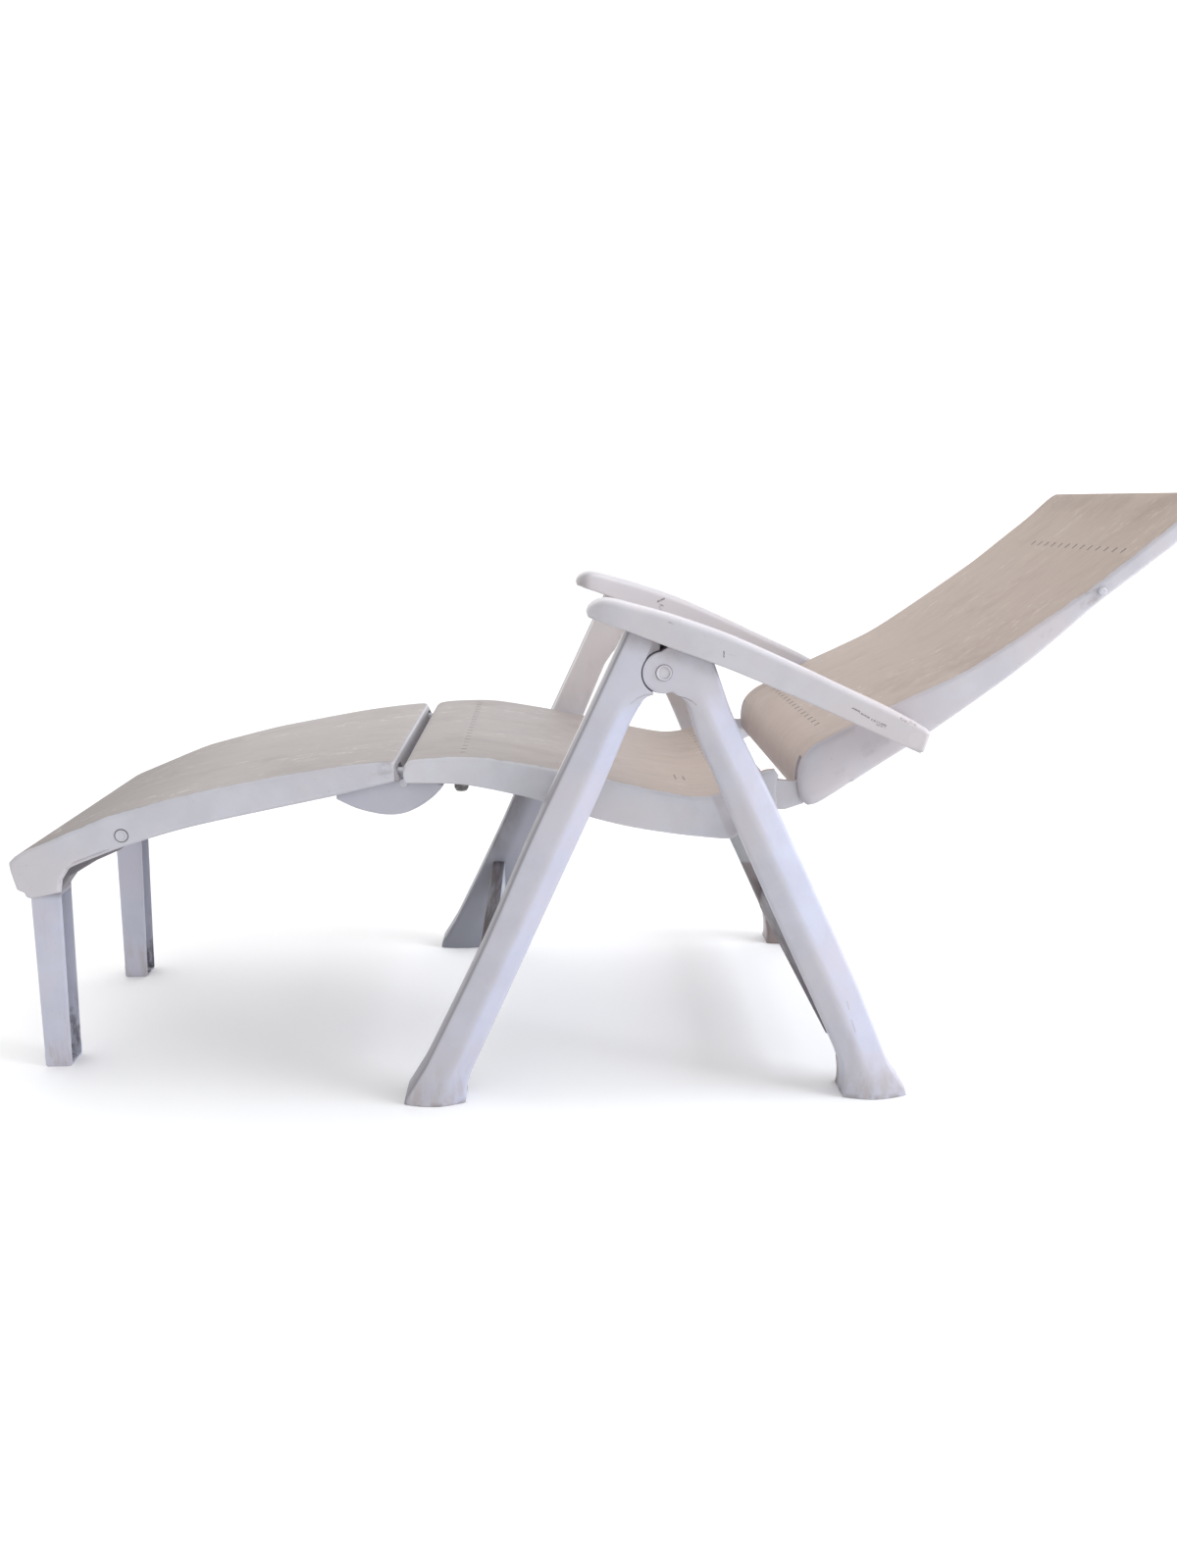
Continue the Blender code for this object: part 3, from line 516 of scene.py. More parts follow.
def white_resin(name, marks=None, grime=0.35, foot=False, streaks=None,
                tint=None, lit_facet=None, lit_crest=None, gloss=0.45):
    """Weathered white resin: faint mottling, ingrained dirt, scuffs, painted
    shade on faces turned down and dirt with painted shade in crevices.
    tint multiplies the whole; facet and crest are painted light: facet
    brightens the faces turned to the head end, crest the faces turned up."""
    w = Web(name)
    mott = w.noise(16.0, 5.0, 0.62)
    fine = w.noise(160.0, 3.0, 0.6)
    col = w.mix(w.ramp(mott, 0.36, 0.66, 0.0, 0.34), WHITE_RGB, SHADE_RGB)
    # warm ingrained patches
    patch = w.ramp(w.noise(6.5, 5.0, 0.62), 0.42, 0.62)
    col = w.mix(w.math('MULTIPLY', patch, 0.62), col, WARM_RGB)
    # painted shade: faces turned downwards are darkened
    under = w.ramp(w.vec('DOT_PRODUCT', w.nrm, (0.0, 0.0, 1.0)), -0.25, -0.85)
    col = w.mix(w.math('MULTIPLY', under, 0.45), col, (0.36, 0.34, 0.36))
    # specks of dirt
    spk = w.ramp(w.noise(260.0, 2.0, 0.5), 0.69, 0.76)
    spk = w.math('MULTIPLY', spk, w.ramp(w.noise(14.0, 2.0), 0.48, 0.62))
    col = w.mix(w.math('MULTIPLY', spk, grime), col, DIRT_AND_SHADE_RGB)
    # crevice dirt and painted crevice shade: darkened where the ambient-occlusion
    # mask finds nearby geometry
    ao = w.new("ShaderNodeAmbientOcclusion", samples=4, only_local=True)
    ao.inputs["Distance"].default_value = 0.012
    crev = w.ramp(ao.outputs["AO"], 0.80, 0.35)
    col = w.mix(w.math('MULTIPLY', crev, 0.5), col, DIRT_AND_SHADE_RGB)
    if streaks is not None:
        st = w.ramp(w.noise(streaks, 3.0, 0.6), 0.60, 0.78)
        col = w.mix(w.math('MULTIPLY', st, 0.28), col, (0.44, 0.40, 0.41))
    if foot:
        z = w.xyz()[2]
        low = w.ramp(z, 0.085, 0.0)
        rag = w.ramp(w.noise((60.0, 60.0, 22.0), 4.0, 0.65), 0.42, 0.66)
        col = w.mix(w.math('MULTIPLY', w.math('MULTIPLY', low, rag), 0.55), col,
                    (0.40, 0.34, 0.31))
        rim = w.math('MULTIPLY', w.ramp(z, 0.010, 0.0),
                     w.ramp(w.noise(70.0, 3.0), 0.40, 0.60))
        col = w.mix(w.math('MULTIPLY', rim, 0.65), col, DIRT_AND_SHADE_RGB)
    n = w.xyz("nrm")
    if tint is not None:
        col = w.mix(1.0, col, tint, 'MULTIPLY')
    # painted light: faces turned to the head end are brightened and tinted blue
    if lit_facet is not None:
        col = w.mix(w.ramp(n[1], 0.12, 0.36), col,
                    w.mix(1.0, col, lit_facet, 'MULTIPLY'))
    # painted light: faces turned up are brightened
    if lit_crest is not None:
        col = w.mix(w.ramp(n[2], 0.30, 0.75), col,
                    w.mix(1.0, col, lit_crest, 'MULTIPLY'))
    if marks is not None:
        for f, rgb, amount in marks(w):
            col = w.mix(w.math('MULTIPLY', f, amount), col, rgb)
    w.put(w.bsdf.inputs["Base Color"], col)
    w.put(w.bsdf.inputs["Roughness"],
          w.ramp(mott, 0.2, 0.8, 0.38, 0.52, 'LINEAR'))
    w.bsdf.inputs["Specular IOR Level"].default_value = gloss
    h = w.math('ADD', w.math('MULTIPLY', fine, 0.5), w.math('MULTIPLY', mott, 0.8))
    w.put(w.bsdf.inputs["Normal"], w.bump(h, 0.12, 0.0006))
    return w.mat


def panel_resin(name, soil, up, light, streak_light=0.35, marks=None,
                side=None, wrap=None):
    """White tray with a soiled upper face.  soil(w) gives the colour of the
    face whose normal has a part along `up`; the flanges stay white."""
    w = Web(name)
    mott = w.noise(16.0, 5.0, 0.62)
    white = w.mix(w.ramp(mott, 0.36, 0.66, 0.0, 0.34), WHITE_RGB, SHADE_RGB)
    patch = w.ramp(w.noise(6.5, 5.0, 0.62), 0.42, 0.62)
    white = w.mix(w.math('MULTIPLY', patch, 0.62), white, WARM_RGB)
    # painted shade: faces turned downwards are darkened
    under = w.ramp(w.vec('DOT_PRODUCT', w.nrm, (0.0, 0.0, 1.0)), -0.25, -0.85)
    white = w.mix(w.math('MULTIPLY', under, 0.45), white, (0.36, 0.34, 0.36))
    spk = w.ramp(w.noise(240.0, 2.0, 0.5), 0.68, 0.76)
    spk = w.math('MULTIPLY', spk, w.ramp(w.noise(14.0, 2.0), 0.46, 0.60))
    white = w.mix(w.math('MULTIPLY', spk, 0.35), white, DIRT_AND_SHADE_RGB)
    if side is not None:
        white = w.mix(1.0, white, side, 'MULTIPLY')
    # lengthwise grain of the upper face
    g1 = w.noise((150.0, 30.0, 30.0), 4.0, 0.62)
    g2 = w.noise((340.0, 48.0, 48.0), 3.0, 0.55)
    g3 = w.noise((26.0, 8.0, 8.0), 4.0, 0.60)
    g4 = w.noise((620.0, 60.0, 60.0), 2.0, 0.5)
    base = soil(w)
    dark = w.mix(1.0, base, (0.78, 0.755, 0.74), 'MULTIPLY')
    pale = w.mix(1.0, base, (1.14, 1.15, 1.16), 'MULTIPLY')
    base = w.mix(w.ramp(g3, 0.50, 0.72, 0.0, 0.24), base, dark)
    base = w.mix(w.ramp(g3, 0.47, 0.30, 0.0, 0.24), base, pale)
    base = w.mix(w.ramp(g1, 0.52, 0.70, 0.0, 0.26), base, dark)
    base = w.mix(w.ramp(g2, 0.58, 0.76, 0.0, 0.40), base, dark)
    worn = w.ramp(w.noise((11.0, 5.0, 5.0), 4.0, 0.6), 0.46, 0.60)
    line = w.math('ADD', w.ramp(g1, 0.40, 0.32), w.ramp(g2, 0.37, 0.30))
    line = w.math('MINIMUM', line, 1.0)
    base = w.mix(w.math('MULTIPLY', w.math('MULTIPLY', line, worn),
                        streak_light), base,
                 tuple(min(1.0, c * 1.12) for c in light))
    cloud = w.ramp(w.noise((7.0, 5.0, 5.0), 5.0, 0.62, 0.5), 0.50, 0.72, 0.0, 0.55)
    base = w.mix(cloud, base, dark)
    spots = w.math('MULTIPLY', w.ramp(g4, 0.66, 0.76),
                   w.ramp(w.noise(19.0, 3.0), 0.50, 0.62))
    base = w.mix(w.math('MULTIPLY', spots, 0.5), base, DIRT_AND_SHADE_RGB)
    # where the face turns over the edge the dirt is rubbed off
    n = w.xyz("nrm")
    facing = w.vec('DOT_PRODUCT', w.nrm, up)
    top = w.ramp(facing, 0.45, 0.80)
    if wrap is not None:
        top = w.math('MAXIMUM', top, w.math(
            'MULTIPLY', w.ramp(n[1], -0.30, -0.55),
            w.ramp(w.xyz()[2], wrap, wrap - 0.02)))
    rim = w.math('ADD', w.math('ABSOLUTE', n[0]),
                 w.math('MULTIPLY', w.math('SUBTRACT', w.noise(40.0, 4.0, 0.6),
                                           0.5), 0.9))
    top = w.math('MULTIPLY', top, w.ramp(rim, 0.62, 0.16))
    col = w.mix(top, white, base)
    # crevice dirt and painted crevice shade: darkened where the ambient-occlusion
    # mask finds nearby geometry
    ao = w.new("ShaderNodeAmbientOcclusion", samples=4, only_local=True)
    ao.inputs["Distance"].default_value = 0.010
    crev = w.ramp(ao.outputs["AO"], 0.75, 0.30)
    col = w.mix(w.math('MULTIPLY', crev, 0.55), col, (0.16, 0.13, 0.12))
    if marks is not None:
        for f, rgb, amount in marks(w):
            col = w.mix(w.math('MULTIPLY', f, amount), col, rgb)
    w.put(w.bsdf.inputs["Base Color"], col)
    w.put(w.bsdf.inputs["Roughness"], w.ramp(top, 0.0, 1.0, 0.42, 0.60, 'LINEAR'))
    w.bsdf.inputs["Specular IOR Level"].default_value = 0.4
    hg = w.math('MULTIPLY', w.math('ADD', g1, w.math('MULTIPLY', g2, 0.6)), top)
    hg = w.math('ADD', hg, w.math('MULTIPLY', w.noise(150.0, 3.0), 0.25))
    w.put(w.bsdf.inputs["Normal"], w.bump(hg, 0.30, 0.0008))
    return w.mat


def dark_rubber(name):
    w = Web(name)
    n = w.noise(120.0, 4.0, 0.6)
    w.put(w.bsdf.inputs["Base Color"],
          w.mix(w.ramp(n, 0.35, 0.7), (0.115, 0.108, 0.104), (0.250, 0.238, 0.228)))
    w.put(w.bsdf.inputs["Roughness"], w.ramp(n, 0.3, 0.7, 0.6, 0.85))
    w.put(w.bsdf.inputs["Normal"], w.bump(n, 0.4, 0.0008))
    return w.mat


def dress(ob, mat, body, nodes=()):
    ob.data.materials.clear()
    ob.data.materials.append(mat)
    for poly in ob.data.polygons:
        poly.material_index = 0
    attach(ob, body)
    if nodes:
        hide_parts(*nodes)
    return ob


# ------------------------------------------------------------------ constants
PANEL_HALF, BACK_HALF = 0.245, 0.256
FLANGE_T, SKIN = 0.0075, 0.006
FRAME_PIVOT = (0.148, 0.610)
SEAT_PIVOT = (0.026, 0.436)
BACK_PIVOT = (0.385, 0.447)
ARM_PIVOT = (0.482, 0.520)
FOOTREST_PIVOT = (-0.205, 0.444)
STAND_PIVOT = (-0.597, 0.374)
DISC_R, CHEEK_R, EAR_R = 0.028, 0.031, 0.0215
LEG_IN, LEG_OUT = 0.274, 0.328
LAP_IN, LAP_OUT = 0.3022, 0.3034
ARM_IN, ARM_OUT, ARM_WALL = 0.266, 0.336, 0.006

# ------------------------------------------------------------------ the trays
SEAT_TOP = smooth([(-0.2030, 0.4460), (-0.2045, 0.4620), (-0.1990, 0.4740),
                   (-0.1860, 0.4795), (-0.1500, 0.4820), (-0.1000, 0.4815),
                   (-0.0400, 0.4725), (0.0200, 0.4615), (0.0850, 0.4475),
                   (0.1500, 0.4320), (0.2100, 0.4230), (0.2600, 0.4330),
                   (0.2950, 0.4570), (0.3140, 0.4610)], 6)
SEAT_BOTTOM = ([(0.3200, 0.4520), (0.3180, 0.4030), (0.2960, 0.4022),
                (0.2860, 0.3980), (0.2620, 0.3650), (0.2550, 0.3607)]
               + smooth([(0.2400, 0.3612), (0.1800, 0.3680), (0.1100, 0.3800),
                         (0.0500, 0.3960), (-0.0100, 0.4170),
                         (-0.0500, 0.4280), (-0.1050, 0.4400),
                         (-0.1400, 0.4440), (-0.1990, 0.4452)], 4))
BACK_TOP = smooth([(0.3500, 0.4200), (0.3450, 0.4380), (0.3448, 0.4620),
                   (0.3510, 0.4820), (0.3660, 0.4980), (0.3850, 0.5090),
                   (0.4200, 0.5270), (0.4650, 0.5500), (0.5200, 0.5755),
                   (0.5750, 0.6030), (0.6360, 0.6430), (0.7000, 0.6880),
                   (0.7450, 0.7210), (0.8000, 0.7660), (0.8400, 0.7990),
                   (0.8700, 0.8270), (0.8830, 0.8380)], 6)
BACK_BOTTOM = ([(0.8905, 0.8385), (0.8940, 0.8310), (0.8905, 0.8140)]
               + smooth([(0.8400, 0.7665), (0.7500, 0.6955), (0.7000, 0.6500),
                         (0.6400, 0.5980), (0.5410, 0.5240), (0.4970, 0.4940),
                         (0.4300, 0.4500), (0.3850, 0.4200), (0.3710, 0.4125),
                         (0.3600, 0.4105)], 4))
FOOT_TOP = smooth([(-0.7500, 0.2950), (-0.7570, 0.3290), (-0.7535, 0.3390),
                   (-0.7380, 0.3500), (-0.7090, 0.3625), (-0.6680, 0.3795),
                   (-0.6390, 0.3915), (-0.5960, 0.4070), (-0.5000, 0.4320),
                   (-0.4530, 0.4420), (-0.3450, 0.4620), (-0.2840, 0.4710),
                   (-0.2300, 0.4765), (-0.2185, 0.4750)], 6)
FOOT_BOTTOM = ([(-0.2150, 0.4690), (-0.2080, 0.4510), (-0.2095, 0.4485)]
               + smooth([(-0.2930, 0.4290), (-0.3750, 0.4120),
                         (-0.4560, 0.3950), (-0.5200, 0.3800),
                         (-0.5900, 0.3590), (-0.6210, 0.3480),
                         (-0.6670, 0.3300), (-0.6770, 0.3240)], 4)
               + [(-0.6870, 0.3090), (-0.6905, 0.2905), (-0.7325, 0.2825),
                  (-0.7380, 0.2840), (-0.7405, 0.2910)])


def curve_z(line, u):
    pts = [p for p in line]
    us = np.array([p[0] for p in pts])
    zs = np.array([p[1] for p in pts])
    k = int(np.argmin(us))
    o = np.argsort(us[k:])
    return float(np.interp(u, us[k:][o], zs[k:][o]))


def slot_row(name, line, u, n, pitch, x_mid, wide=0.0018, long=0.0075,
             deep=0.012, slope=None):
    """Cutting tool for a row of narrow slots across a tray."""
    z = curve_z(line, u)
    dz = (curve_z(line, u + 0.004) - curve_z(line, u - 0.004)) / 0.008
    ang = math.atan(dz)
    bm = bmesh.new()
    for k in range(n):
        x = x_mid + (k - (n - 1) / 2) * pitch
        m = (Matrix.Translation((x, u - U_MID, z))
             @ Matrix.Rotation(ang, 4, 'X'))
        geo = bmesh.ops.create_cube(bm, size=1.0, matrix=m @ Matrix.Diagonal(
            (wide, long, deep, 1.0)))
    return to_object(name, bm)


def ribs(rows, half):
    """Transverse stiffening ribs under a skin."""
    out = []
    for k, pts in enumerate(rows):
        out.append(prism("rib", pts, -half, half))
    return out


def long_ribs(line, u0, u1, xs, deep, n=26):
    """Lengthwise ribs under a skin, following it."""
    us = [u0 + (u1 - u0) * k / n for k in range(n + 1)]
    out = []
    for x in xs:
        pts = [(u, curve_z(line, u) - 0.004) for u in us]
        low = [(p[0], p[1] - deep) for p in pts]
        out.append(prism("lrib", pts + low[::-1], x - 0.0012, x + 0.0012))
    return out


def tray(name, top, bottom, half, hollow, r_edge, outer=None, grid=0.010):
    outline = top + bottom
    f = outer or rounded(half, r_edge)

    def g(u, z, d):
        return -f(u, z, d)
    body = moulding(name, outline, f, g, r=0.0055, grid=grid, step=0.0035)
    ins = half - FLANGE_T
    return boolean(body, prism("h", hollow, -ins, ins))


# seat -----------------------------------------------------------------------
def seat_radius(u, z):
    return np.where(z > np.interp(u, [-0.2, 0.0, 0.1, 0.2, 0.3],
                                  [0.462, 0.440, 0.415, 0.395, 0.42]),
                    0.0062, 0.0030)


seat_hollow = ([p for p in offset(SEAT_TOP[12:-4], SKIN) if p[0] < 0.2900]
               + [(0.298, 0.4510), (0.310, 0.4520), (0.310, 0.330),
                  (-0.1970, 0.330), (-0.1970, 0.4655)])
seat = tray("seat_shell", SEAT_TOP, SEAT_BOTTOM, PANEL_HALF, seat_hollow,
            seat_radius)
boolean(seat, prism("k", [(0.2960, 0.4290), (0.3400, 0.4290),
                          (0.3400, 0.5000), (0.2900, 0.5000),
                          (0.2900, 0.4700)], -0.2345, 0.2345))
for s in (1, -1):
    a, b = sorted((s * 0.1920, s * 0.2360))
    boolean(seat, prism("k", [(-0.230, 0.430), (-0.193, 0.430),
                              (-0.193, 0.4660), (-0.230, 0.4660)], a, b))
boolean(seat, slot_row("k", SEAT_TOP, -0.1230, 19, 0.0235, 0.0, 0.0027, 0.0080))
boolean(seat, slot_row("k", SEAT_TOP, 0.2490, 19, 0.0235, 0.0, 0.0032, 0.0085))
seat_extra = []
seat_extra += ribs([[(u - 0.0015, low), (u + 0.0015, low), (u + 0.0015, top),
                     (u - 0.0015, top)]
                    for u, top, low in ((-0.110, 0.478, 0.462),
                                        (-0.020, 0.4665, 0.448),
                                        (0.070, 0.4480, 0.428),
                                        (0.160, 0.4275, 0.405),
                                        (0.240, 0.4220, 0.395))], 0.2385)
seat_extra += long_ribs(SEAT_TOP, -0.185, 0.290, (-0.12, -0.04, 0.04, 0.12),
                        0.012)
ear = ([(0.3000, 0.4440), (0.2980, 0.4060), (0.3300, 0.4030),
        (0.3550, 0.4115)]
       + arc(BACK_PIVOT, EAR_R, -118, 172, 40)
       + [(0.3400, 0.4445), (0.3190, 0.4470)])
hear = (arc(FOOTREST_PIVOT, 0.0165, 110, 300, 20)
        + [(-0.1600, 0.4550), (-0.1450, 0.4790), (-0.1800, 0.4780),
           (-0.1960, 0.4720)])
for s in (1, -1):
    for nm, pts, x0, x1, r in (("ear", ear, 0.2360, 0.2440, 0.0018),
                               ("hear", hear, 0.197, 0.205, 0.0012)):
        e = moulding(nm, pts, rounded(x1, r), rounded(x0, r, -1.0), r=r,
                     grid=0.008, step=0.003, rings=(0.2, 0.6, 1.05))
        if nm == "ear":
            boolean(e, cylinder("k", BACK_PIVOT, 0.0074, 0.215, 0.2475, 28))
        else:
            boolean(e, cylinder("k", FOOTREST_PIVOT, 0.0064, 0.190, 0.210, 28))
        if s < 0:
            e.data.transform(Matrix.Scale(-1, 4, (1, 0, 0)))
            e.data.flip_normals()
        seat_extra.append(e)
for s in (1, -1):
    a, b = sorted((s * 0.215, s * 0.2475))
    boolean(seat, cylinder("k", SEAT_PIVOT, 0.0084, a, b, 28))
absorb(seat, *seat_extra)
finish_mesh(seat)

# backrest -------------------------------------------------------------------
END_DIR = np.array([0.745, 0.667])


def back_outer(u, z, d):
    """Half width: flat flanges, rounded head corners, bulged lower lobes."""
    e = (np.array([0.8905, 0.8385]) @ END_DIR) - (u * END_DIR[0] + z * END_DIR[1])
    R = 0.020
    ee = np.clip(e, 0.0, R)
    corner = R - np.sqrt(np.maximum(R ** 2 - (R - ee) ** 2, 0))
    lobe = np.exp(-(((u - 0.386) / 0.040) ** 2 + ((z - 0.452) / 0.034) ** 2))
    base = BACK_HALF - 0.0015 * (1 - lobe) + 0.0015 * lobe
    r = np.where(u < 0.42, 0.0090, 0.0060)
    dd = np.clip(d, 0, r)
    return base - corner - (r - np.sqrt(np.maximum(r ** 2 - (r - dd) ** 2, 0)))


back_inner = [p for p in offset(BACK_TOP, SKIN)[:-10] if p[1] > 0.4290]
back_hollow = back_inner + [(0.8480, 0.7960), (0.8820, 0.8290),
                            (0.8880, 0.8240), (0.9100, 0.7300),
                            (0.6000, 0.4000), (0.3700, 0.3500),
                            (0.3300, 0.3900), (0.3300, 0.4240)]
back = tray("backrest_shell", BACK_TOP, BACK_BOTTOM, BACK_HALF - 0.0005,
            back_hollow, 0.006, outer=back_outer)
slot = (arc(BACK_PIVOT, 0.0340, 137, 232, 12)
        + arc(BACK_PIVOT, 0.0750, 232, 137, 8))
for s in (1, -1):
    a, b = sorted((s * 0.2345, s * 0.2482))
    boolean(back, prism("k", slot, a, b))
boolean(back, slot_row("k", BACK_TOP, 0.7930, 13, 0.0258, 0.055, 0.0034,
                       0.0095))
boolean(back, slot_row("k", BACK_TOP, 0.3885, 15, 0.0235, 0.0, 0.0036, 0.0080))
back_extra = ribs([[(u - 0.0015 + 0.6 * (top - low), low),
                    (u + 0.0015 + 0.6 * (top - low), low),
                    (u + 0.0015, top), (u - 0.0015, top)]
                   for u, top, low in ((0.440, 0.5325, 0.506),
                                       (0.530, 0.5760, 0.553),
                                       (0.620, 0.6290, 0.612),
                                       (0.710, 0.6920, 0.680),
                                       (0.800, 0.7620, 0.753))], 0.2490)
back_extra += long_ribs(BACK_TOP, 0.395, 0.862, (-0.12, -0.04, 0.04, 0.12),
                        0.013)
for s in (1, -1):
    a, b = sorted((s * 0.240, s * 0.2530))
    boolean(back, cylinder("k", BACK_PIVOT, 0.0074, a, b, 28))
    a, b = sorted((s * 0.240, s * 0.270))
    boolean(back, cylinder("k", ARM_PIVOT, 0.0054, a, b, 28))
    boolean(back, cylinder("k", (0.7470, 0.7080), 0.0040, a, b, 28))
absorb(back, *back_extra)
finish_mesh(back)


# footrest -------------------------------------------------------------------
def foot_outer(u, z, d):
    r = np.where((u < -0.70) & (z < 0.325), 0.0045, 0.0052)
    dd = np.clip(d, 0, r)
    x = PANEL_HALF - (r - np.sqrt(np.maximum(r ** 2 - (r - dd) ** 2, 0)))
    # stepped lip along the lower edge between the nose and the pin
    low = np.interp(u, [-0.69, -0.677, -0.667, -0.621, -0.590],
                    [0.300, 0.324, 0.330, 0.348, 0.359])
    on = (np.clip((u + 0.700) / 0.010, 0, 1)
          * np.clip((-0.605 - u) / 0.020, 0, 1))
    t = (z - low - 0.0050) / 0.0009
    return x - 0.0014 * on * np.exp(-t * t)


foot_hollow = (offset(FOOT_TOP[16:-6], SKIN)
               + [(-0.2200, 0.4640), (-0.2150, 0.4500), (-0.2150, 0.3300),
                  (-0.5500, 0.2300), (-0.7430, 0.2300), (-0.7430, 0.3000),
                  (-0.7490, 0.3300)])
foot = tray("footrest_shell", FOOT_TOP, FOOT_BOTTOM, PANEL_HALF, foot_hollow,
            0.005, outer=foot_outer)
for s in (1, -1):
    a, b = sorted((s * 0.1920, s * 0.2360))
    boolean(foot, prism("k", [(-0.230, 0.430), (-0.200, 0.430),
                              (-0.200, 0.4660), (-0.230, 0.4660)], a, b))
foot_extra = ribs([[(u - 0.0015, low), (u + 0.0015, low), (u + 0.0015, top),
                    (u - 0.0015, top)]
                   for u, top, low in ((-0.660, 0.3790, 0.368),
                                       (-0.550, 0.4150, 0.400),
                                       (-0.440, 0.4400, 0.424),
                                       (-0.330, 0.4600, 0.444))], 0.2385)
foot_extra += long_ribs(FOOT_TOP, -0.700, -0.250, (-0.10, 0.0, 0.10), 0.011)
for s in (1, -1):
    a, b = sorted((s * 0.225, s * 0.255))
    boolean(foot, cylinder("k", STAND_PIVOT, 0.0054, a, b, 28))
    a, b = sorted((s * 0.2440, s * 0.2600))
    boolean(foot, cylinder("k", STAND_PIVOT, 0.0093, a, b, 48))
absorb(foot, *foot_extra)
finish_mesh(foot)


# ------------------------------------------------------------------ leg bars
def soft(t, w=0.10):
    """Soft corner: 0 for t < 0, t for t > 0."""
    return 0.5 * (t + np.sqrt(t * t + w * w) - w)


FL_Z = [0, 0.014, 0.042, 0.078, 0.240, 0.380, 0.539, 0.660, 0.680]
FL_U = [-0.2095, -0.2055, -0.1885, -0.1690, -0.0915, -0.0310, 0.0430, 0.0990,
        0.1080]
FR_Z = [0, 0.015, 0.038, 0.068, 0.215, 0.415, 0.486, 0.540, 0.574, 0.680]
FR_U = [-0.1235, -0.1225, -0.1165, -0.1030, -0.0370, 0.0530, 0.0830, 0.1055,
        0.1200, 0.1670]
RL_Z = [0, 0.013, 0.040, 0.072, 0.257, 0.378, 0.450, 0.520, 0.553, 0.571, 0.65]
RL_U = [0.4130, 0.4140, 0.4110, 0.4000, 0.3140, 0.2590, 0.2280, 0.1960, 0.1820,
        0.1740, 0.1400]
RR_Z = [0, 0.013, 0.026, 0.053, 0.088, 0.196, 0.421, 0.542, 0.624, 0.65]
RR_U = [0.5055, 0.5020, 0.4930, 0.4770, 0.4620, 0.4150, 0.3070, 0.2460, 0.2130,
        0.2020]


def across(u, z, lz, lu, rz, ru):
    a = np.interp(z, lz, lu)
    b = np.interp(z, rz, ru)
    return (u - a) / (b - a)


def foot_flare(z, q, top=0.052):
    f = np.clip(1 - z / top, 0, 1) ** 2
    return f * (0.0078 - 0.0085 * (2 * np.clip(q, 0, 1) - 1) ** 2)


def leg_radius(z, big):
    return np.interp(z, [0, 0.006, 0.020, 0.06], [0.0022, 0.0030, 0.0050, big])


def front_outer(u, z, d):
    q = across(u, z, FL_Z, FL_U, FR_Z, FR_U)
    h = np.clip((0.592 - z) / 0.060, 0, 1)
    h = h * h * (3 - 2 * h)
    foot = np.clip(z / 0.05, 0.25, 1)
    x = LEG_OUT + foot_flare(z, q)
    x = x - h * foot * (0.0145 * soft((q - 0.60) / 0.40, 0.06)
                        + 0.0022 * soft((0.60 - q) / 0.60, 0.07))
    r = leg_radius(z, 0.0055)
    r = np.where((z > 0.565) & (u > 0.112), 0.0020, r)
    dd = np.clip(d, 0, r)
    return x - (r - np.sqrt(np.maximum(r ** 2 - (r - dd) ** 2, 0)))


def front_inner(u, z, d):
    q = across(u, z, FL_Z, FL_U, FR_Z, FR_U)
    h = np.clip((0.592 - z) / 0.060, 0, 1)
    foot = np.clip(z / 0.05, 0.25, 1)
    x = LEG_IN - foot_flare(z, q) * 0.6
    x = x + h * foot * (0.0060 * soft((q - 0.58) / 0.42)
                        + 0.0015 * soft((0.58 - q) / 0.58))
    rho = np.hypot(u - FRAME_PIVOT[0], z - FRAME_PIVOT[1])
    ang = np.degrees(np.arctan2(z - FRAME_PIVOT[1], u - FRAME_PIVOT[0])) % 360
    x = x + 0.0013 * np.exp(-((rho - 0.0300) / 0.0008) ** 2) * (
        (ang > 135) & (ang < 250))
    r = leg_radius(z, 0.0050)
    r = np.where((z > 0.565) & (u > 0.112), 0.0020, r)
    dd = np.clip(d, 0, r)
    return x + (r - np.sqrt(np.maximum(r ** 2 - (r - dd) ** 2, 0)))


def pivot_rings(radii, a0, a1, n=40):
    out = []
    for r in radii:
        out += arc(FRAME_PIVOT, r, a0, a1, n)
    return np.array(out)


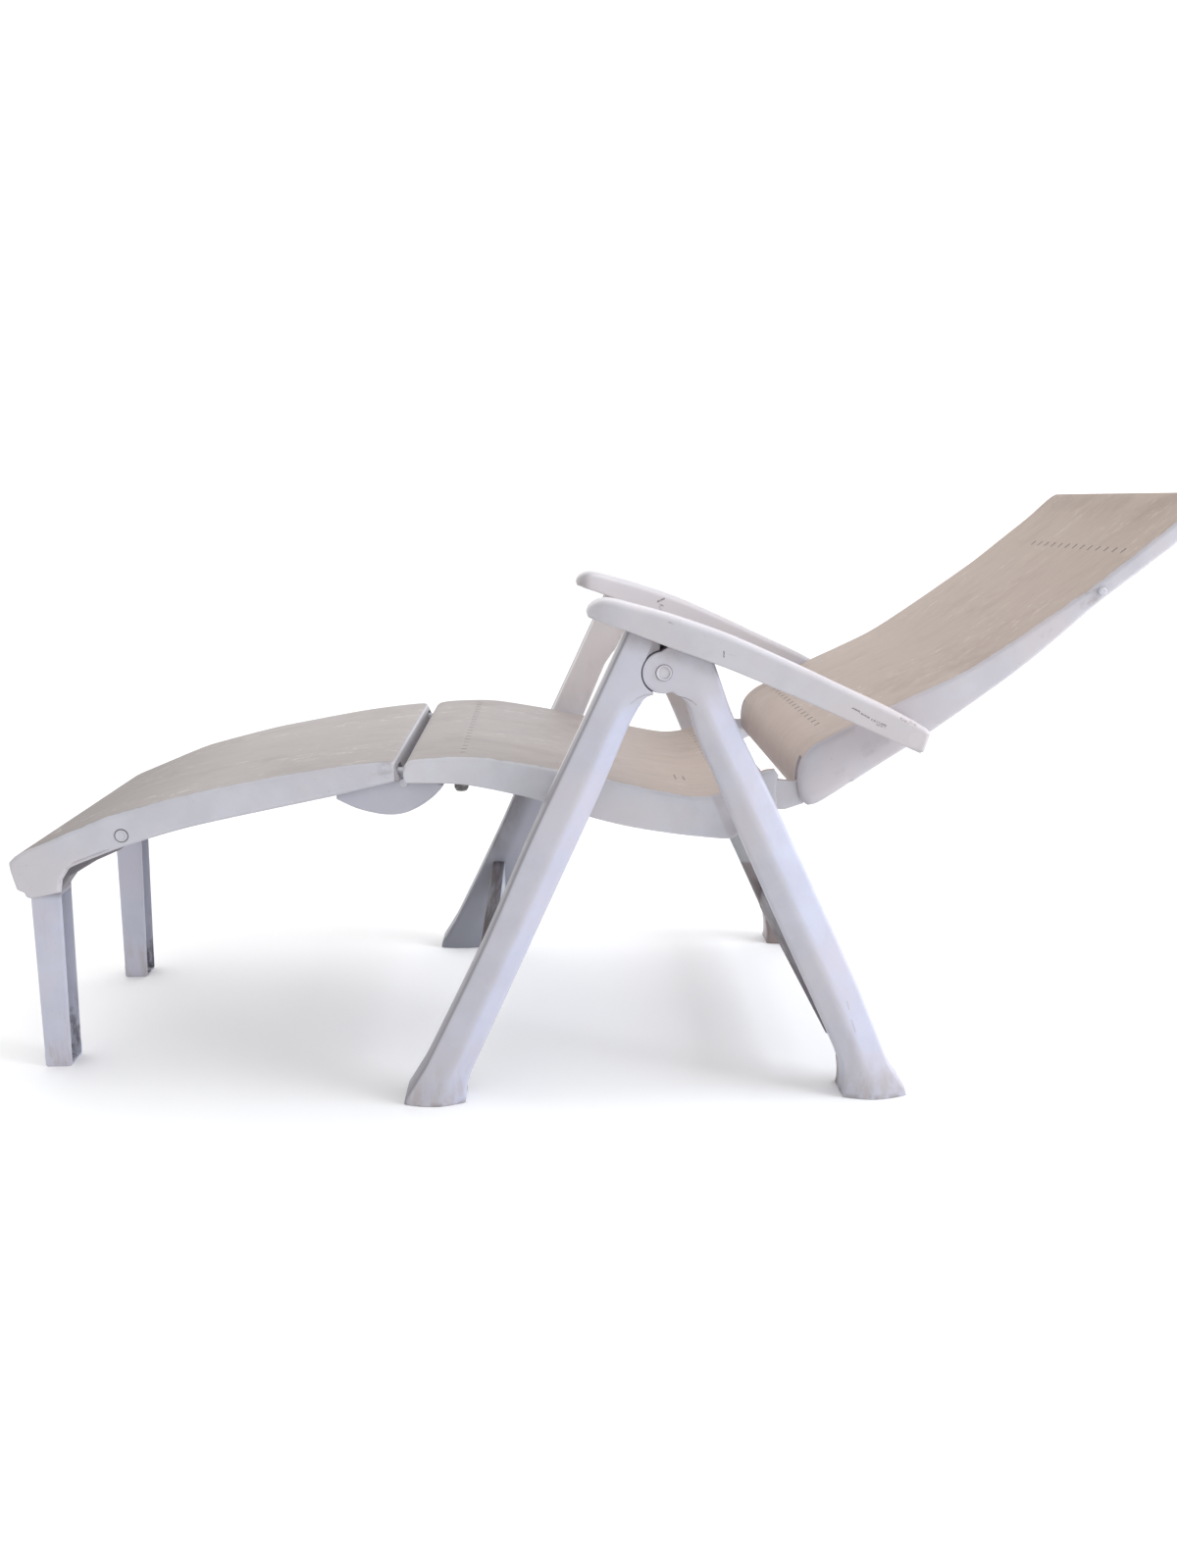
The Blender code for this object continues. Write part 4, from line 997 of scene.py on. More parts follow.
def front_leg():
    left = smooth([(-0.2095, 0.0), (-0.2085, 0.006), (-0.2055, 0.0140),
                   (-0.1885, 0.0420), (-0.1690, 0.0780), (-0.0915, 0.2400),
                   (-0.0310, 0.3800), (0.0430, 0.5390), (0.0990, 0.6600)], 4)
    right = smooth([(0.1220, 0.5740), (0.1055, 0.5400), (0.0830, 0.4860),
                    (0.0530, 0.4150), (-0.0370, 0.2150), (-0.1030, 0.0680),
                    (-0.1165, 0.0380), (-0.1225, 0.0150), (-0.1235, 0.0)], 4)
    gusset = smooth([(0.1500, 0.5880), (0.1420, 0.5835), (0.1320, 0.5800),
                     (0.1270, 0.5780), (0.1220, 0.5740)], 3)
    outline = (left + [(0.1035, 0.6690), (0.1390, 0.6560), (0.1500, 0.6420)]
               + gusset + right[1:])
    ob = moulding("leg", outline, front_outer, front_inner, r=0.0052,
                  grid=0.0075, step=0.0035)
    cut = (arc(FRAME_PIVOT, DISC_R + 0.0015, 101, 242, 34)
           + [(0.1450, 0.5600), (0.2200, 0.5600), (0.2200, 0.7000),
              (0.1440, 0.7000)])
    boolean(ob, prism("k", cut, LAP_IN, 0.350))
    step = ([(0.1400, 0.7000), (0.1335, 0.6500)]
            + arc(FRAME_PIVOT, DISC_R + 0.0008, 158, 160, 2)
            + [(0.1480, 0.6200), (0.1480, 0.7000)])
    boolean(ob, prism("k", step, 0.3235, 0.350))
    cheek = moulding("cheek", arc(FRAME_PIVOT, CHEEK_R, 0, 352, 44),
                     rounded(LAP_IN - 0.0001, 0.0015),
                     rounded(LEG_IN + 0.0002, 0.0015, -1.0), r=0.0015,
                     rings=(0.2, 0.6, 1.05), grid=0.010)
    for part in (ob, cheek):
        boolean(part, cylinder("k", FRAME_PIVOT, 0.0074, 0.250, 0.345, 32))
    boolean(ob, cylinder("k", SEAT_PIVOT, 0.0084, 0.250, 0.2905, 32))
    absorb(ob, cheek)
    return finish_mesh(ob, 38)


def rear_outer(u, z, d):
    q = across(u, z, RL_Z, RL_U, RR_Z, RR_U)
    h = np.clip((0.603 - z) / 0.050, 0, 1)
    h = h * h * (3 - 2 * h)
    foot = np.clip(z / 0.05, 0.25, 1)
    x = LEG_OUT + foot_flare(z, q)
    x = x - h * foot * (0.0058 * soft((0.44 - q) / 0.44, 0.06)
                        + 0.0150 * soft((q - 0.44) / 0.56, 0.05))
    rho = np.hypot(u - FRAME_PIVOT[0], z - FRAME_PIVOT[1])
    r = leg_radius(z, 0.0052)
    r = np.where(rho < 0.046, 0.0013, r)
    dd = np.clip(d, 0, r)
    return x - (r - np.sqrt(np.maximum(r ** 2 - (r - dd) ** 2, 0)))


def rear_inner(u, z, d):
    q = across(u, z, RL_Z, RL_U, RR_Z, RR_U)
    h = np.clip((0.580 - z) / 0.045, 0, 1)
    foot = np.clip(z / 0.05, 0.25, 1)
    x = LEG_IN - foot_flare(z, q) * 0.6
    x = x + h * foot * (0.0050 * soft((0.44 - q) / 0.44)
                        + 0.0035 * soft((q - 0.44) / 0.56))
    r = leg_radius(z, 0.0050)
    dd = np.clip(d, 0, r)
    return x + (r - np.sqrt(np.maximum(r ** 2 - (r - dd) ** 2, 0)))


def rear_leg():
    right = smooth([(0.2130, 0.6240), (0.2460, 0.5420), (0.3070, 0.4210),
                    (0.4150, 0.1960), (0.4620, 0.0880), (0.4770, 0.0530),
                    (0.4930, 0.0260), (0.5020, 0.0130), (0.5055, 0.0)], 4)
    left = smooth([(0.4130, 0.0), (0.4140, 0.0130), (0.4110, 0.0400),
                   (0.4000, 0.0720), (0.3140, 0.2570), (0.2590, 0.3780),
                   (0.2280, 0.4500), (0.1960, 0.5200), (0.1860, 0.5530),
                   (0.1780, 0.5710), (0.1660, 0.5800)], 4)
    outline = ([(0.1780, 0.6500), (0.2060, 0.6400)] + right + left
               + arc(FRAME_PIVOT, DISC_R, 294, 98, 34) + [(0.1600, 0.6480)])
    ob = moulding("leg", outline, rear_outer, rear_inner, r=0.0050,
                  grid=0.0075, step=0.0033)
    lap = ([(0.0900, 0.7000), (0.0900, 0.5200), (0.1400, 0.5600)]
           + arc(FRAME_PIVOT, CHEEK_R + 0.0012, -95, 68, 36)
           + [(0.1720, 0.6380), (0.2300, 0.6240), (0.2300, 0.7000)])
    boolean(ob, prism("k", lap, LEG_IN - 0.02, LAP_OUT))
    boolean(ob, cylinder("k", FRAME_PIVOT, 0.0110, 0.3262, 0.345, 40))
    boolean(ob, cylinder("k", FRAME_PIVOT, 0.0074, 0.250, 0.345, 32))
    boolean(ob, cylinder("k", (0.2980, 0.3910), 0.0074, 0.250, 0.2885, 32))
    return finish_mesh(ob, 38)


# ------------------------------------------------------------------ armrests
ARM_TOP = smooth([(0.0500, 0.6810), (0.0485, 0.6880), (0.0540, 0.6970),
                  (0.0680, 0.7030), (0.0850, 0.7020), (0.1140, 0.6945),
                  (0.1460, 0.6860), (0.1800, 0.6755), (0.2260, 0.6595),
                  (0.2620, 0.6450), (0.3340, 0.6130), (0.3830, 0.5900),
                  (0.4420, 0.5630), (0.4700, 0.5490), (0.4960, 0.5350)], 6)
ARM_BOTTOM = ([(0.5020, 0.5290), (0.4950, 0.5040), (0.4890, 0.5015)]
              + smooth([(0.4660, 0.5125), (0.4040, 0.5405), (0.3400, 0.5695),
                        (0.2780, 0.5960), (0.2270, 0.6170), (0.1530, 0.6440),
                        (0.0980, 0.6650), (0.0560, 0.6790)], 4))
AM_U = [0.050, 0.098, 0.153, 0.227, 0.278, 0.340, 0.404, 0.466, 0.500]
AM_Z = [0.686, 0.684, 0.666, 0.639, 0.618, 0.591, 0.561, 0.533, 0.520]


def arm_side(sign):
    def f(u, z, d):
        t = np.clip((0.094 - u) / 0.047, 0, 1)
        s = np.sqrt(np.clip(1 - 0.72 * t ** 2.3, 0.05, 1))
        mid = 0.5 * (ARM_IN + ARM_OUT)
        x = mid + sign * 0.5 * (ARM_OUT - ARM_IN) * s
        up = z - np.interp(u, AM_U, AM_Z)
        r = np.where(up > 0, 0.0078, 0.0020)
        r = np.where(u < 0.060, 0.0070, r)
        e = np.clip((u - 0.470) / 0.016, 0, 1)
        r = r * (1 - e) + 0.0072 * e
        dd = np.clip(d, 0, r)
        return x - sign * (r - np.sqrt(np.maximum(r ** 2 - (r - dd) ** 2, 0)))
    return f


def armrest():
    ob = moulding("arm", corner_round(tidy(ARM_TOP + ARM_BOTTOM), 0.005),
                  arm_side(1.0), arm_side(-1.0), r=0.0078, grid=0.0075,
                  step=0.0032)
    inner = offset(ARM_TOP[16:-8], ARM_WALL)
    hollow = inner + [(0.4880, 0.5300), (0.4930, 0.5250), (0.4850, 0.4700),
                      (0.3000, 0.5000), (0.0740, 0.5900), (0.0740, 0.6840)]
    boolean(ob, prism("k", hollow, ARM_IN + ARM_WALL, ARM_OUT - ARM_WALL))
    boolean(ob, cylinder("k", ARM_PIVOT, 0.0054, 0.255, 0.274, 28))
    return finish_mesh(ob)


# ------------------------------------------------------------------ the rest
def crossbar(name, corners):
    body = moulding(name, corner_round(corners, 0.0025, n=4),
                    rounded(LEG_IN - 0.0004, 0.0006),
                    rounded(-(LEG_IN - 0.0004), 0.0006, -1.0), r=0.0006,
                    rings=(0.5, 1.1), grid=0.006, step=0.004)
    cu = sum(p[0] for p in corners) / len(corners)
    cz = sum(p[1] for p in corners) / len(corners)
    inner = []
    for u, z in corners:
        inner.append((u + math.copysign(0.0055, cu - u),
                      z + math.copysign(0.0055, cz - z)))
    boolean(body, prism("k", corner_round(inner, 0.003), -0.30, 0.30))
    return finish_mesh(body)


def hinge_lobe():
    low = smooth([(-0.3000, 0.4200), (-0.2750, 0.4075), (-0.2520, 0.4005),
                  (-0.2300, 0.3970), (-0.2080, 0.3985), (-0.1880, 0.4065),
                  (-0.1700, 0.4180), (-0.1560, 0.4310), (-0.1500, 0.4390)], 6)
    outline = low + [(-0.1530, 0.4420), (-0.1800, 0.4560), (-0.2150, 0.4620),
                     (-0.2220, 0.4655), (-0.3000, 0.4600)]
    ob = moulding("lobe", outline, rounded(0.2325, 0.0040),
                  rounded(0.2075, 0.0040, -1.0), r=0.0040, grid=0.008,
                  step=0.003)
    boolean(ob, cylinder("k", FOOTREST_PIVOT, 0.0064, 0.200, 0.240, 28))
    return finish_mesh(ob)


def footrest_leg():
    outline = [(-0.7615, 0.0), (-0.7230, 0.0), (-0.7115, 0.2780),
               (-0.6960, 0.2980), (-0.6560, 0.3220), (-0.6200, 0.3380)]
    outline += arc(STAND_PIVOT, 0.0140, -50, 125, 20)
    outline += [(-0.6560, 0.3620), (-0.7180, 0.3280), (-0.7390, 0.3080),
                (-0.7410, 0.2860), (-0.7450, 0.2790), (-0.7550, 0.2760)]

    def rad(u, z):
        return np.where(z < 0.02, 0.0016, 0.0028)
    ob = moulding("stand", corner_round(outline, 0.004), rounded(0.193, rad),
                  rounded(0.150, rad, -1.0), r=0.0028, grid=0.009, step=0.004)
    channel = [(-0.7573, 0.0040), (-0.7100, 0.0040), (-0.6980, 0.2700),
               (-0.7510, 0.2700)]
    boolean(ob, prism("k", channel, 0.154, 0.189))
    # small stiffening webs across the channel
    webs = []
    for z in (0.075, 0.150, 0.225):
        u0 = -0.7573 + (z - 0.004) * 0.0237
        webs.append(prism("web", [(u0 - 0.001, z), (u0 + 0.020, z),
                                  (u0 + 0.020, z + 0.002),
                                  (u0 - 0.001, z + 0.002)], 0.1535, 0.1895))
    boolean(ob, cylinder("k", STAND_PIVOT, 0.0054, 0.140, 0.200, 28))
    absorb(ob, *webs)
    return finish_mesh(ob)


front_left = front_leg()
rear_left = rear_leg()
arm_left = armrest()
lobe_left = hinge_lobe()
stand_left = footrest_leg()
front_bar = crossbar("front_rail", [(-0.1085, 0.1170), (-0.0910, 0.1170),
                                    (-0.0860, 0.1240), (-0.0860, 0.1705),
                                    (-0.1085, 0.1705)])
rear_bar = crossbar("rear_rail", [(0.3965, 0.0740), (0.4240, 0.0740),
                                  (0.4240, 0.1330), (0.3965, 0.1330)])
tie = turned("stand_tie", (-0.7200, 0.3000),
             [(0, -0.1497), (0.0072, -0.1497), (0.0080, -0.1489),
              (0.0080, 0.1489), (0.0072, 0.1497), (0, 0.1497)], 32)
finish_mesh(tie)
cap_left = finish_mesh(turned("frame_cap", FRAME_PIVOT, [
    (0, 0.2690), (0.0110, 0.2690), (0.0119, 0.2698), (0.0120, 0.2737),
    (0.0070, 0.2737), (0.0070, 0.3265), (0.0103, 0.3265), (0.0103, 0.3288),
    (0.0101, 0.3295), (0.0095, 0.3299), (0.0085, 0.3299), (0.0079, 0.3295),
    (0.0075, 0.3284), (0.0070, 0.3280), (0.0040, 0.3281), (0, 0.3284)]), 40)
stand_pin_left = finish_mesh(turned("stand_cap", STAND_PIVOT, [
    (0, 0.1460), (0.0075, 0.1460), (0.0080, 0.1465), (0.0080, 0.1497),
    (0.0050, 0.1497), (0.0050, 0.1933), (0.0085, 0.1933), (0.0085, 0.2367),
    (0.0050, 0.2367), (0.0050, 0.2453), (0.0083, 0.2453), (0.0083, 0.2460),
    (0.0080, 0.2466), (0.0074, 0.2469), (0.0066, 0.2469), (0.0061, 0.2465),
    (0.0058, 0.2461), (0.0030, 0.2460), (0, 0.2461)]), 40)


# ------------------------------------------------------------------ materials
def backrest_soil(w):
    o = w.xyz()
    t = w.ramp(o[2], 0.44, 0.86, 0.0, 1.0, 'LINEAR')
    c = w.mix(t, (0.430, 0.356, 0.321), (0.373, 0.298, 0.251))
    low = w.ramp(o[1], 0.42 - U_MID, 0.34 - U_MID)
    c = w.mix(w.math('MULTIPLY', low, 0.7), c, (0.462, 0.375, 0.336))
    # brown weathering along the head edge
    head = w.math('MULTIPLY', w.ramp(o[2], 0.765, 0.835),
                  w.ramp(w.noise((9.0, 14.0, 14.0), 5.0, 0.6), 0.40, 0.62))
    return w.mix(w.math('MULTIPLY', head, 0.55), c, (0.300, 0.235, 0.200))


def seat_soil(w):
    o = w.xyz()
    t = w.ramp(o[1], -0.02 - U_MID, 0.20 - U_MID)
    c = w.mix(t, (0.348, 0.314, 0.309), (0.442, 0.367, 0.330))
    rear = w.ramp(o[1], 0.27 - U_MID, 0.31 - U_MID)
    return w.mix(w.math('MULTIPLY', rear, 0.6), c, (0.360, 0.300, 0.275))


def foot_soil(w):
    o = w.xyz()
    t = w.ramp(o[1], -0.74 - U_MID, -0.45 - U_MID)
    return w.mix(t, (0.228, 0.199, 0.188), (0.358, 0.326, 0.318))


def seat_marks(w):
    out = []
    near = (0.05, 0.20)
    for a, b, wd in (((0.186, 0.4), (0.192, 0.4), 0.0016),
                     ((0.199, 0.4), (0.206, 0.4), 0.0013)):
        o = w.xyz()
        comb = w.new("ShaderNodeCombineXYZ")
        w.put(comb.inputs[0], o[0])
        w.put(comb.inputs[1], o[1])
        d = w.vec('LENGTH', w.vec('DIVIDE', w.vec(
            'SUBTRACT', comb.outputs[0], (0.13, a[0] - U_MID, 0.0)),
            (0.020, 0.0022, 1.0)))
        rag = w.ramp(w.noise(180.0, 3.0), 0.42, 0.55)
        out.append((w.math('MULTIPLY', w.ramp(d, 0.6, 1.0, 1.0, 0.0), rag),
                    (0.12, 0.09, 0.08), 0.75))
    # brownish painted shadow of the rear leg on the flange where the leg crosses it
    rag = w.ramp(w.noise(40.0, 4.0, 0.6), 0.30, 0.62, 0.5, 1.0)
    out.append((w.math('MULTIPLY', w.stroke(
        seen(735, 812, 0.248), seen(752, 852, 0.248), 0.015, (0.23, 0.27),
        0.6), rag), (0.375, 0.320, 0.335), 0.42))
    return out


def arm_marks(w):
    out = []
    o = w.xyz()
    # painted light: the inner walls of both arms are lightened
    out.append((w.ramp(w.math('ABSOLUTE', o[0]), 0.2720, 0.2668),
                (0.740, 0.710, 0.745), 0.90))
    s = [((738, 664.5), (738, 670), 0.0012, (0.07, 0.06, 0.07), 0.85),
         ((869, 722), (877, 726), 0.0013, (0.11, 0.09, 0.10), 0.80),
         ((877, 727), (886, 732), 0.0014, (0.13, 0.11, 0.13), 0.80),
         ((889, 734), (903, 740), 0.0019, (0.17, 0.15, 0.17), 0.75),
         ((894, 739), (902, 742), 0.0013, (0.17, 0.15, 0.17), 0.65),
         ((919, 733), (926, 737), 0.0021, (0.22, 0.18, 0.17), 0.75),
         ((928, 736), (934, 740), 0.0018, (0.22, 0.18, 0.17), 0.65),
         ((681, 634), (686, 636), 0.0014, (0.22, 0.19, 0.21), 0.60),
         ((742, 667), (750, 669), 0.0012, (0.40, 0.37, 0.38), 0.45)]
    for a, b, wd, rgb, amt in s:
        rag = w.ramp(w.noise(420.0, 2.0, 0.6), 0.38, 0.52)
        out.append((w.math('MULTIPLY', w.stroke(
            seen(*a, 0.336), seen(*b, 0.336), wd, (0.320, 0.345)), rag),
            rgb, amt))
    c = seen(934, 754, 0.336)
    out.append((w.stroke(c, c, 0.011, (0.320, 0.345), 0.7),
                (0.52, 0.485, 0.50), 0.55))
    # far arm, inner side
    rag = w.ramp(w.noise(260.0, 3.0), 0.36, 0.52)
    for p, q, wd, amt in (((670.5, 613.5), (677, 610.5), 0.0022, 0.80),
                          ((672, 615.5), (676, 618), 0.0018, 0.65),
                          ((673, 619), (674, 624), 0.0034, 0.30)):
        out.append((w.math('MULTIPLY', w.stroke(
            seen(*p, -0.266), seen(*q, -0.266), wd, (-0.285, -0.255)), rag),
            (0.20, 0.17, 0.18), amt))
    return out


def front_marks(w):
    out = []
    # painted shade: dark crease lines at the gussets below the pivot disc, first on
    # the near leg, then on the far leg
    for pts, amt in ((((643, 718), (650, 712)), 0.42),
                     (((650, 712), (657, 709)), 0.60),
                     (((657, 709), (665, 708)), 0.72)):
        a, b = (seen(*p, 0.327) for p in pts)
        out.append((w.stroke(a, b, 0.0012, (0.29, 0.34), 0.1),
                    (0.26, 0.23, 0.25), amt))
    for pts in (((623, 667), (628, 665)), ((628, 665), (634, 664)),):
        a, b = (seen(*p, -0.274) for p in pts)
        out.append((w.stroke(a, b, 0.0020, (-0.30, -0.26), 0.2),
                    (0.20, 0.17, 0.18), 0.50))
    # painted shadow under the armrest and painted shade in the corner by the pivot
    # disc
    rag = w.ramp(w.noise(30.0, 4.0, 0.6), 0.30, 0.62, 0.35, 1.0)
    out.append((w.math('MULTIPLY', w.stroke(
        (0.098, 0.667), (0.240, 0.613), 0.030, None, 0.15), rag),
        (0.285, 0.255, 0.262), 0.62))
    c = seen(672, 664, 0.327)
    out.append((w.stroke(c, c, 0.011, (0.29, 0.34), 0.6),
                (0.240, 0.215, 0.225), 0.62))
    # painted shade: faces turned to the foot end are darkened
    n = w.xyz("nrm")
    out.append((w.ramp(n[1], -0.22, -0.60), (0.250, 0.240, 0.262), 0.88))
    # inner faces of the legs: painted light and shade, lighter high up and darkest
    # low down, mottled, with a dark painted band of shade along the far front leg
    o = w.xyz()
    inn = w.ramp(w.math('ABSOLUTE', o[0]), 0.3000, 0.2830)
    low = w.ramp(o[2], 0.50, 0.34, 0.0, 1.0)
    out.append((inn, (0.700, 0.655, 0.655), 0.90))
    out.append((w.math('MULTIPLY', inn, w.ramp(
        w.noise((9.0, 9.0, 5.0), 4.0, 0.6), 0.42, 0.66)),
        (0.50, 0.45, 0.45), 0.45))
    out.append((w.math('MULTIPLY', inn, low), (0.310, 0.316, 0.362), 0.94))
    out.append((w.math('MULTIPLY', inn, w.ramp(o[2], 0.22, 0.06)),
                (0.140, 0.146, 0.172), 0.55))
    rag = w.ramp(w.noise((14.0, 14.0, 8.0), 4.0, 0.6), 0.30, 0.60, 0.3, 1.0)
    out.append((w.math('MULTIPLY', w.math('MULTIPLY', w.stroke(
        (-0.100, 0.215), (-0.012, 0.420), 0.040, None, 0.1), rag), inn),
        (0.110, 0.084, 0.080), 0.66))
    return out


def rear_marks(w):
    out = []
    # painted shade: dark crease lines where the gusset falls away below the pivot
    # disc
    for pts, amt in ((((692, 710.5), (699, 712)), 0.85),
                     (((699, 712), (705, 715)), 0.78),
                     (((705, 715), (710, 719)), 0.50)):
        a, b = (seen(*p, 0.327) for p in pts)
        out.append((w.stroke(a, b, 0.0011, (0.29, 0.34), 0.1),
                    (0.16, 0.14, 0.15), amt))
    for a, b, wd in (((696.5, 713), (698, 719), 0.0028),
                     ((699, 724), (700.5, 727), 0.0022)):
        rag = w.ramp(w.noise(300.0, 2.0, 0.6), 0.36, 0.50)
        out.append((w.math('MULTIPLY', w.stroke(
            seen(*a, -0.274), seen(*b, -0.274), wd, (-0.30, -0.25), 0.3), rag),
            (0.20, 0.13, 0.13), 0.75))
    for p, q, wd in (((868, 1040), (872, 1052), 0.0012),
                     ((902, 1060), (905, 1070), 0.0014),
                     ((864, 1022), (866, 1030), 0.0011)):
        out.append((w.stroke(seen(*p, 0.325), seen(*q, 0.325), wd,
                             (0.30, 0.345)), (0.33, 0.29, 0.30), 0.55))
    # painted shadow under the armrest
    rag = w.ramp(w.noise(30.0, 4.0, 0.6), 0.30, 0.62, 0.35, 1.0)
    out.append((w.math('MULTIPLY', w.stroke(
        (0.098, 0.667), (0.240, 0.613), 0.026, None, 0.15), rag),
        (0.285, 0.255, 0.262), 0.55))
    # inner faces of the legs: painted light and shade, darkest low down, mottled
    o = w.xyz()
    inn = w.ramp(w.math('ABSOLUTE', o[0]), 0.3000, 0.2830)
    low = w.ramp(o[2], 0.43, 0.33, 0.0, 1.0)
    out.append((inn, (0.580, 0.535, 0.530), 0.85))
    out.append((w.math('MULTIPLY', inn, w.ramp(
        w.noise((9.0, 9.0, 5.0), 4.0, 0.6), 0.42, 0.66)),
        (0.46, 0.40, 0.39), 0.55))
    out.append((w.math('MULTIPLY', inn, low), (0.200, 0.170, 0.172), 0.88))
    # a lighter stretch of the inner face between z 0.167 and 0.33, and brown dirt
    # on one foot
    lighter_stretch = w.math('MULTIPLY', w.ramp(o[2], 0.160, 0.167),
                   w.ramp(o[2], 0.36, 0.30))
    out.append((w.math('MULTIPLY', inn, lighter_stretch), (0.400, 0.408, 0.425), 0.85))
    foot = w.math('MULTIPLY', w.ramp(o[0], -0.10, -0.20),
                  w.ramp(o[2], 0.105, 0.085))
    out.append((foot, (0.25, 0.17, 0.14), 0.30))
    return out


def foot_marks(w):
    """Grey rubbed dirt at the rear end of the near flange, painted shade on the
    rear end wall and a dark ring round the stand pivot.
    """
    o = w.xyz()
    end = w.ramp(o[1], -0.262 - U_MID, -0.222 - U_MID)
    rag = w.ramp(w.noise((50.0, 50.0, 90.0), 4.0, 0.7), 0.46, 0.60)
    side = w.math('GREATER_THAN', w.math('ABSOLUTE', o[0]), 0.240)
    m = w.math('MULTIPLY', w.math('MULTIPLY', end, rag), side)
    # painted shade: the rear end wall below the lip is darkened
    wall = w.math('GREATER_THAN', o[1], -0.2165 - U_MID)
    wall = w.math('MULTIPLY', wall, w.ramp(o[2], 0.4745, 0.4700))
    r = w.vec('LENGTH', w.vec('MULTIPLY', w.vec(
        'SUBTRACT', w.obj, (0.0, STAND_PIVOT[0] - U_MID, STAND_PIVOT[1])),
        (0.0, 1.0, 1.0)))
    ring = w.math('MULTIPLY', w.ramp(r, 0.0108, 0.0092), side)
    return [(m, (0.30, 0.28, 0.30), 0.55), (wall, (0.270, 0.252, 0.262), 0.88),
            (ring, (0.15, 0.135, 0.14), 0.80)]


def back_marks(w):
    out = []
    # dark rubbed smear on the flange in front of the side peg
    for a, b, wd, amt in (((1106, 617), (1118, 611), 0.0085, 0.60),
                          ((1101, 609), (1117, 602), 0.0032, 0.70),
                          ((1060, 650), (1075, 641), 0.004, 0.25)):
        rag = w.ramp(w.noise((70.0, 70.0, 70.0), 4.0, 0.7), 0.40, 0.62)
        out.append((w.math('MULTIPLY', w.stroke(
            seen(*a, 0.256), seen(*b, 0.256), wd, (0.24, 0.27), 0.1), rag),
            (0.30, 0.26, 0.25), amt))
    # lower edge of the near flange: dirt between lobe and armrest
    for a, b, wd, amt in (((850, 790), (905, 757), 0.006, 0.45),
                          ((866, 772), (930, 735), 0.012, 0.25)):
        rag = w.ramp(w.noise((45.0, 45.0, 45.0), 4.0, 0.7), 0.42, 0.66)
        out.append((w.math('MULTIPLY', w.stroke(
            seen(*a, 0.256), seen(*b, 0.256), wd, (0.24, 0.27), 0.1), rag),
            (0.36, 0.32, 0.33), amt))
    return out


def stand_marks(w):
    o = w.xyz()
    z = o[2]
    out = []
    rag = w.ramp(w.noise((60.0, 60.0, 14.0), 4.0, 0.7), 0.44, 0.62)
    low = w.ramp(z, 0.12, 0.0)
    out.append((w.math('MULTIPLY', low, rag), (0.38, 0.34, 0.33), 0.55))
    # painted light: the channel faces, in shade inside the stand, are lightened and
    # tinted blue
    inn = w.math('LESS_THAN', w.math('ABSOLUTE', w.math(
        'SUBTRACT', w.math('ABSOLUTE', o[0]), 0.1715)), 0.0185)
    out.append((inn, (0.58, 0.59, 0.67), 0.60))
    scuff = w.ramp(w.noise((50.0, 50.0, 20.0), 4.0, 0.7), 0.42, 0.58)
    out.append((w.math('MULTIPLY', w.math('MULTIPLY', inn, scuff),
                       w.ramp(z, 0.13, 0.03)), (0.150, 0.140, 0.160), 0.80))
    # painted shadow: a dark line at the top of the stand, under the nose of the
    # footrest
    out.append((w.ramp(z, 0.262, 0.2785), (0.130, 0.112, 0.118), 0.85))
    return out


# LEG_LIT_FACET is painted light: blue-white brightening of the leg faces turned to
# the head end, where the window light falls
LEG_TINT, LEG_LIT_FACET = (0.925, 0.930, 0.955), (1.030, 1.055, 1.140)
M_FRONT = white_resin("front_leg_resin", front_marks, foot=True,
                      streaks=(30.0, 30.0, 5.0), tint=LEG_TINT,
                      lit_facet=LEG_LIT_FACET)
M_REAR = white_resin("rear_leg_resin", rear_marks, foot=True,
                     streaks=(30.0, 30.0, 5.0), tint=LEG_TINT,
                     lit_facet=LEG_LIT_FACET)
# the crest factor here is painted light: the upward faces of the arms are made
# lighter
M_ARM = white_resin("armrest_resin", arm_marks, 0.30, streaks=(60.0, 6.0, 40.0),
                    tint=(0.955, 0.940, 0.915), lit_crest=(1.10, 1.08, 1.08))


def rail_marks(w):
    """Painted shade on the rails: blue-grey over the whole rail, dark brown
    on the face to the foot end and lighter blue-grey on the face to the head end;
    brown on top.
    """
    n = w.xyz("nrm")
    rag = w.ramp(w.noise((9.0, 60.0, 60.0), 4.0, 0.65), 0.30, 0.62, 0.5, 1.0)
    fine = w.ramp(w.noise((14.0, 160.0, 160.0), 3.0, 0.6), 0.30, 0.60, 0.6, 1.0)
    # painted shade: blue-grey over the rail, darker on the face to the foot end
    return [(rag, (0.205, 0.222, 0.290), 0.9),
            (w.math('MULTIPLY', w.ramp(n[2], 0.35, 0.75), fine),
             (0.060, 0.043, 0.041), 0.92),
            (w.math('MULTIPLY', w.ramp(n[1], -0.35, -0.75), fine),
             (0.095, 0.070, 0.068), 0.88),
            (w.math('MULTIPLY', w.ramp(n[1], 0.20, 0.55), fine),
             (0.270, 0.290, 0.350), 0.88)]


M_RAIL = white_resin("rail_resin", rail_marks, 0.6, streaks=(8.0, 90.0, 90.0),
                     gloss=0.12)
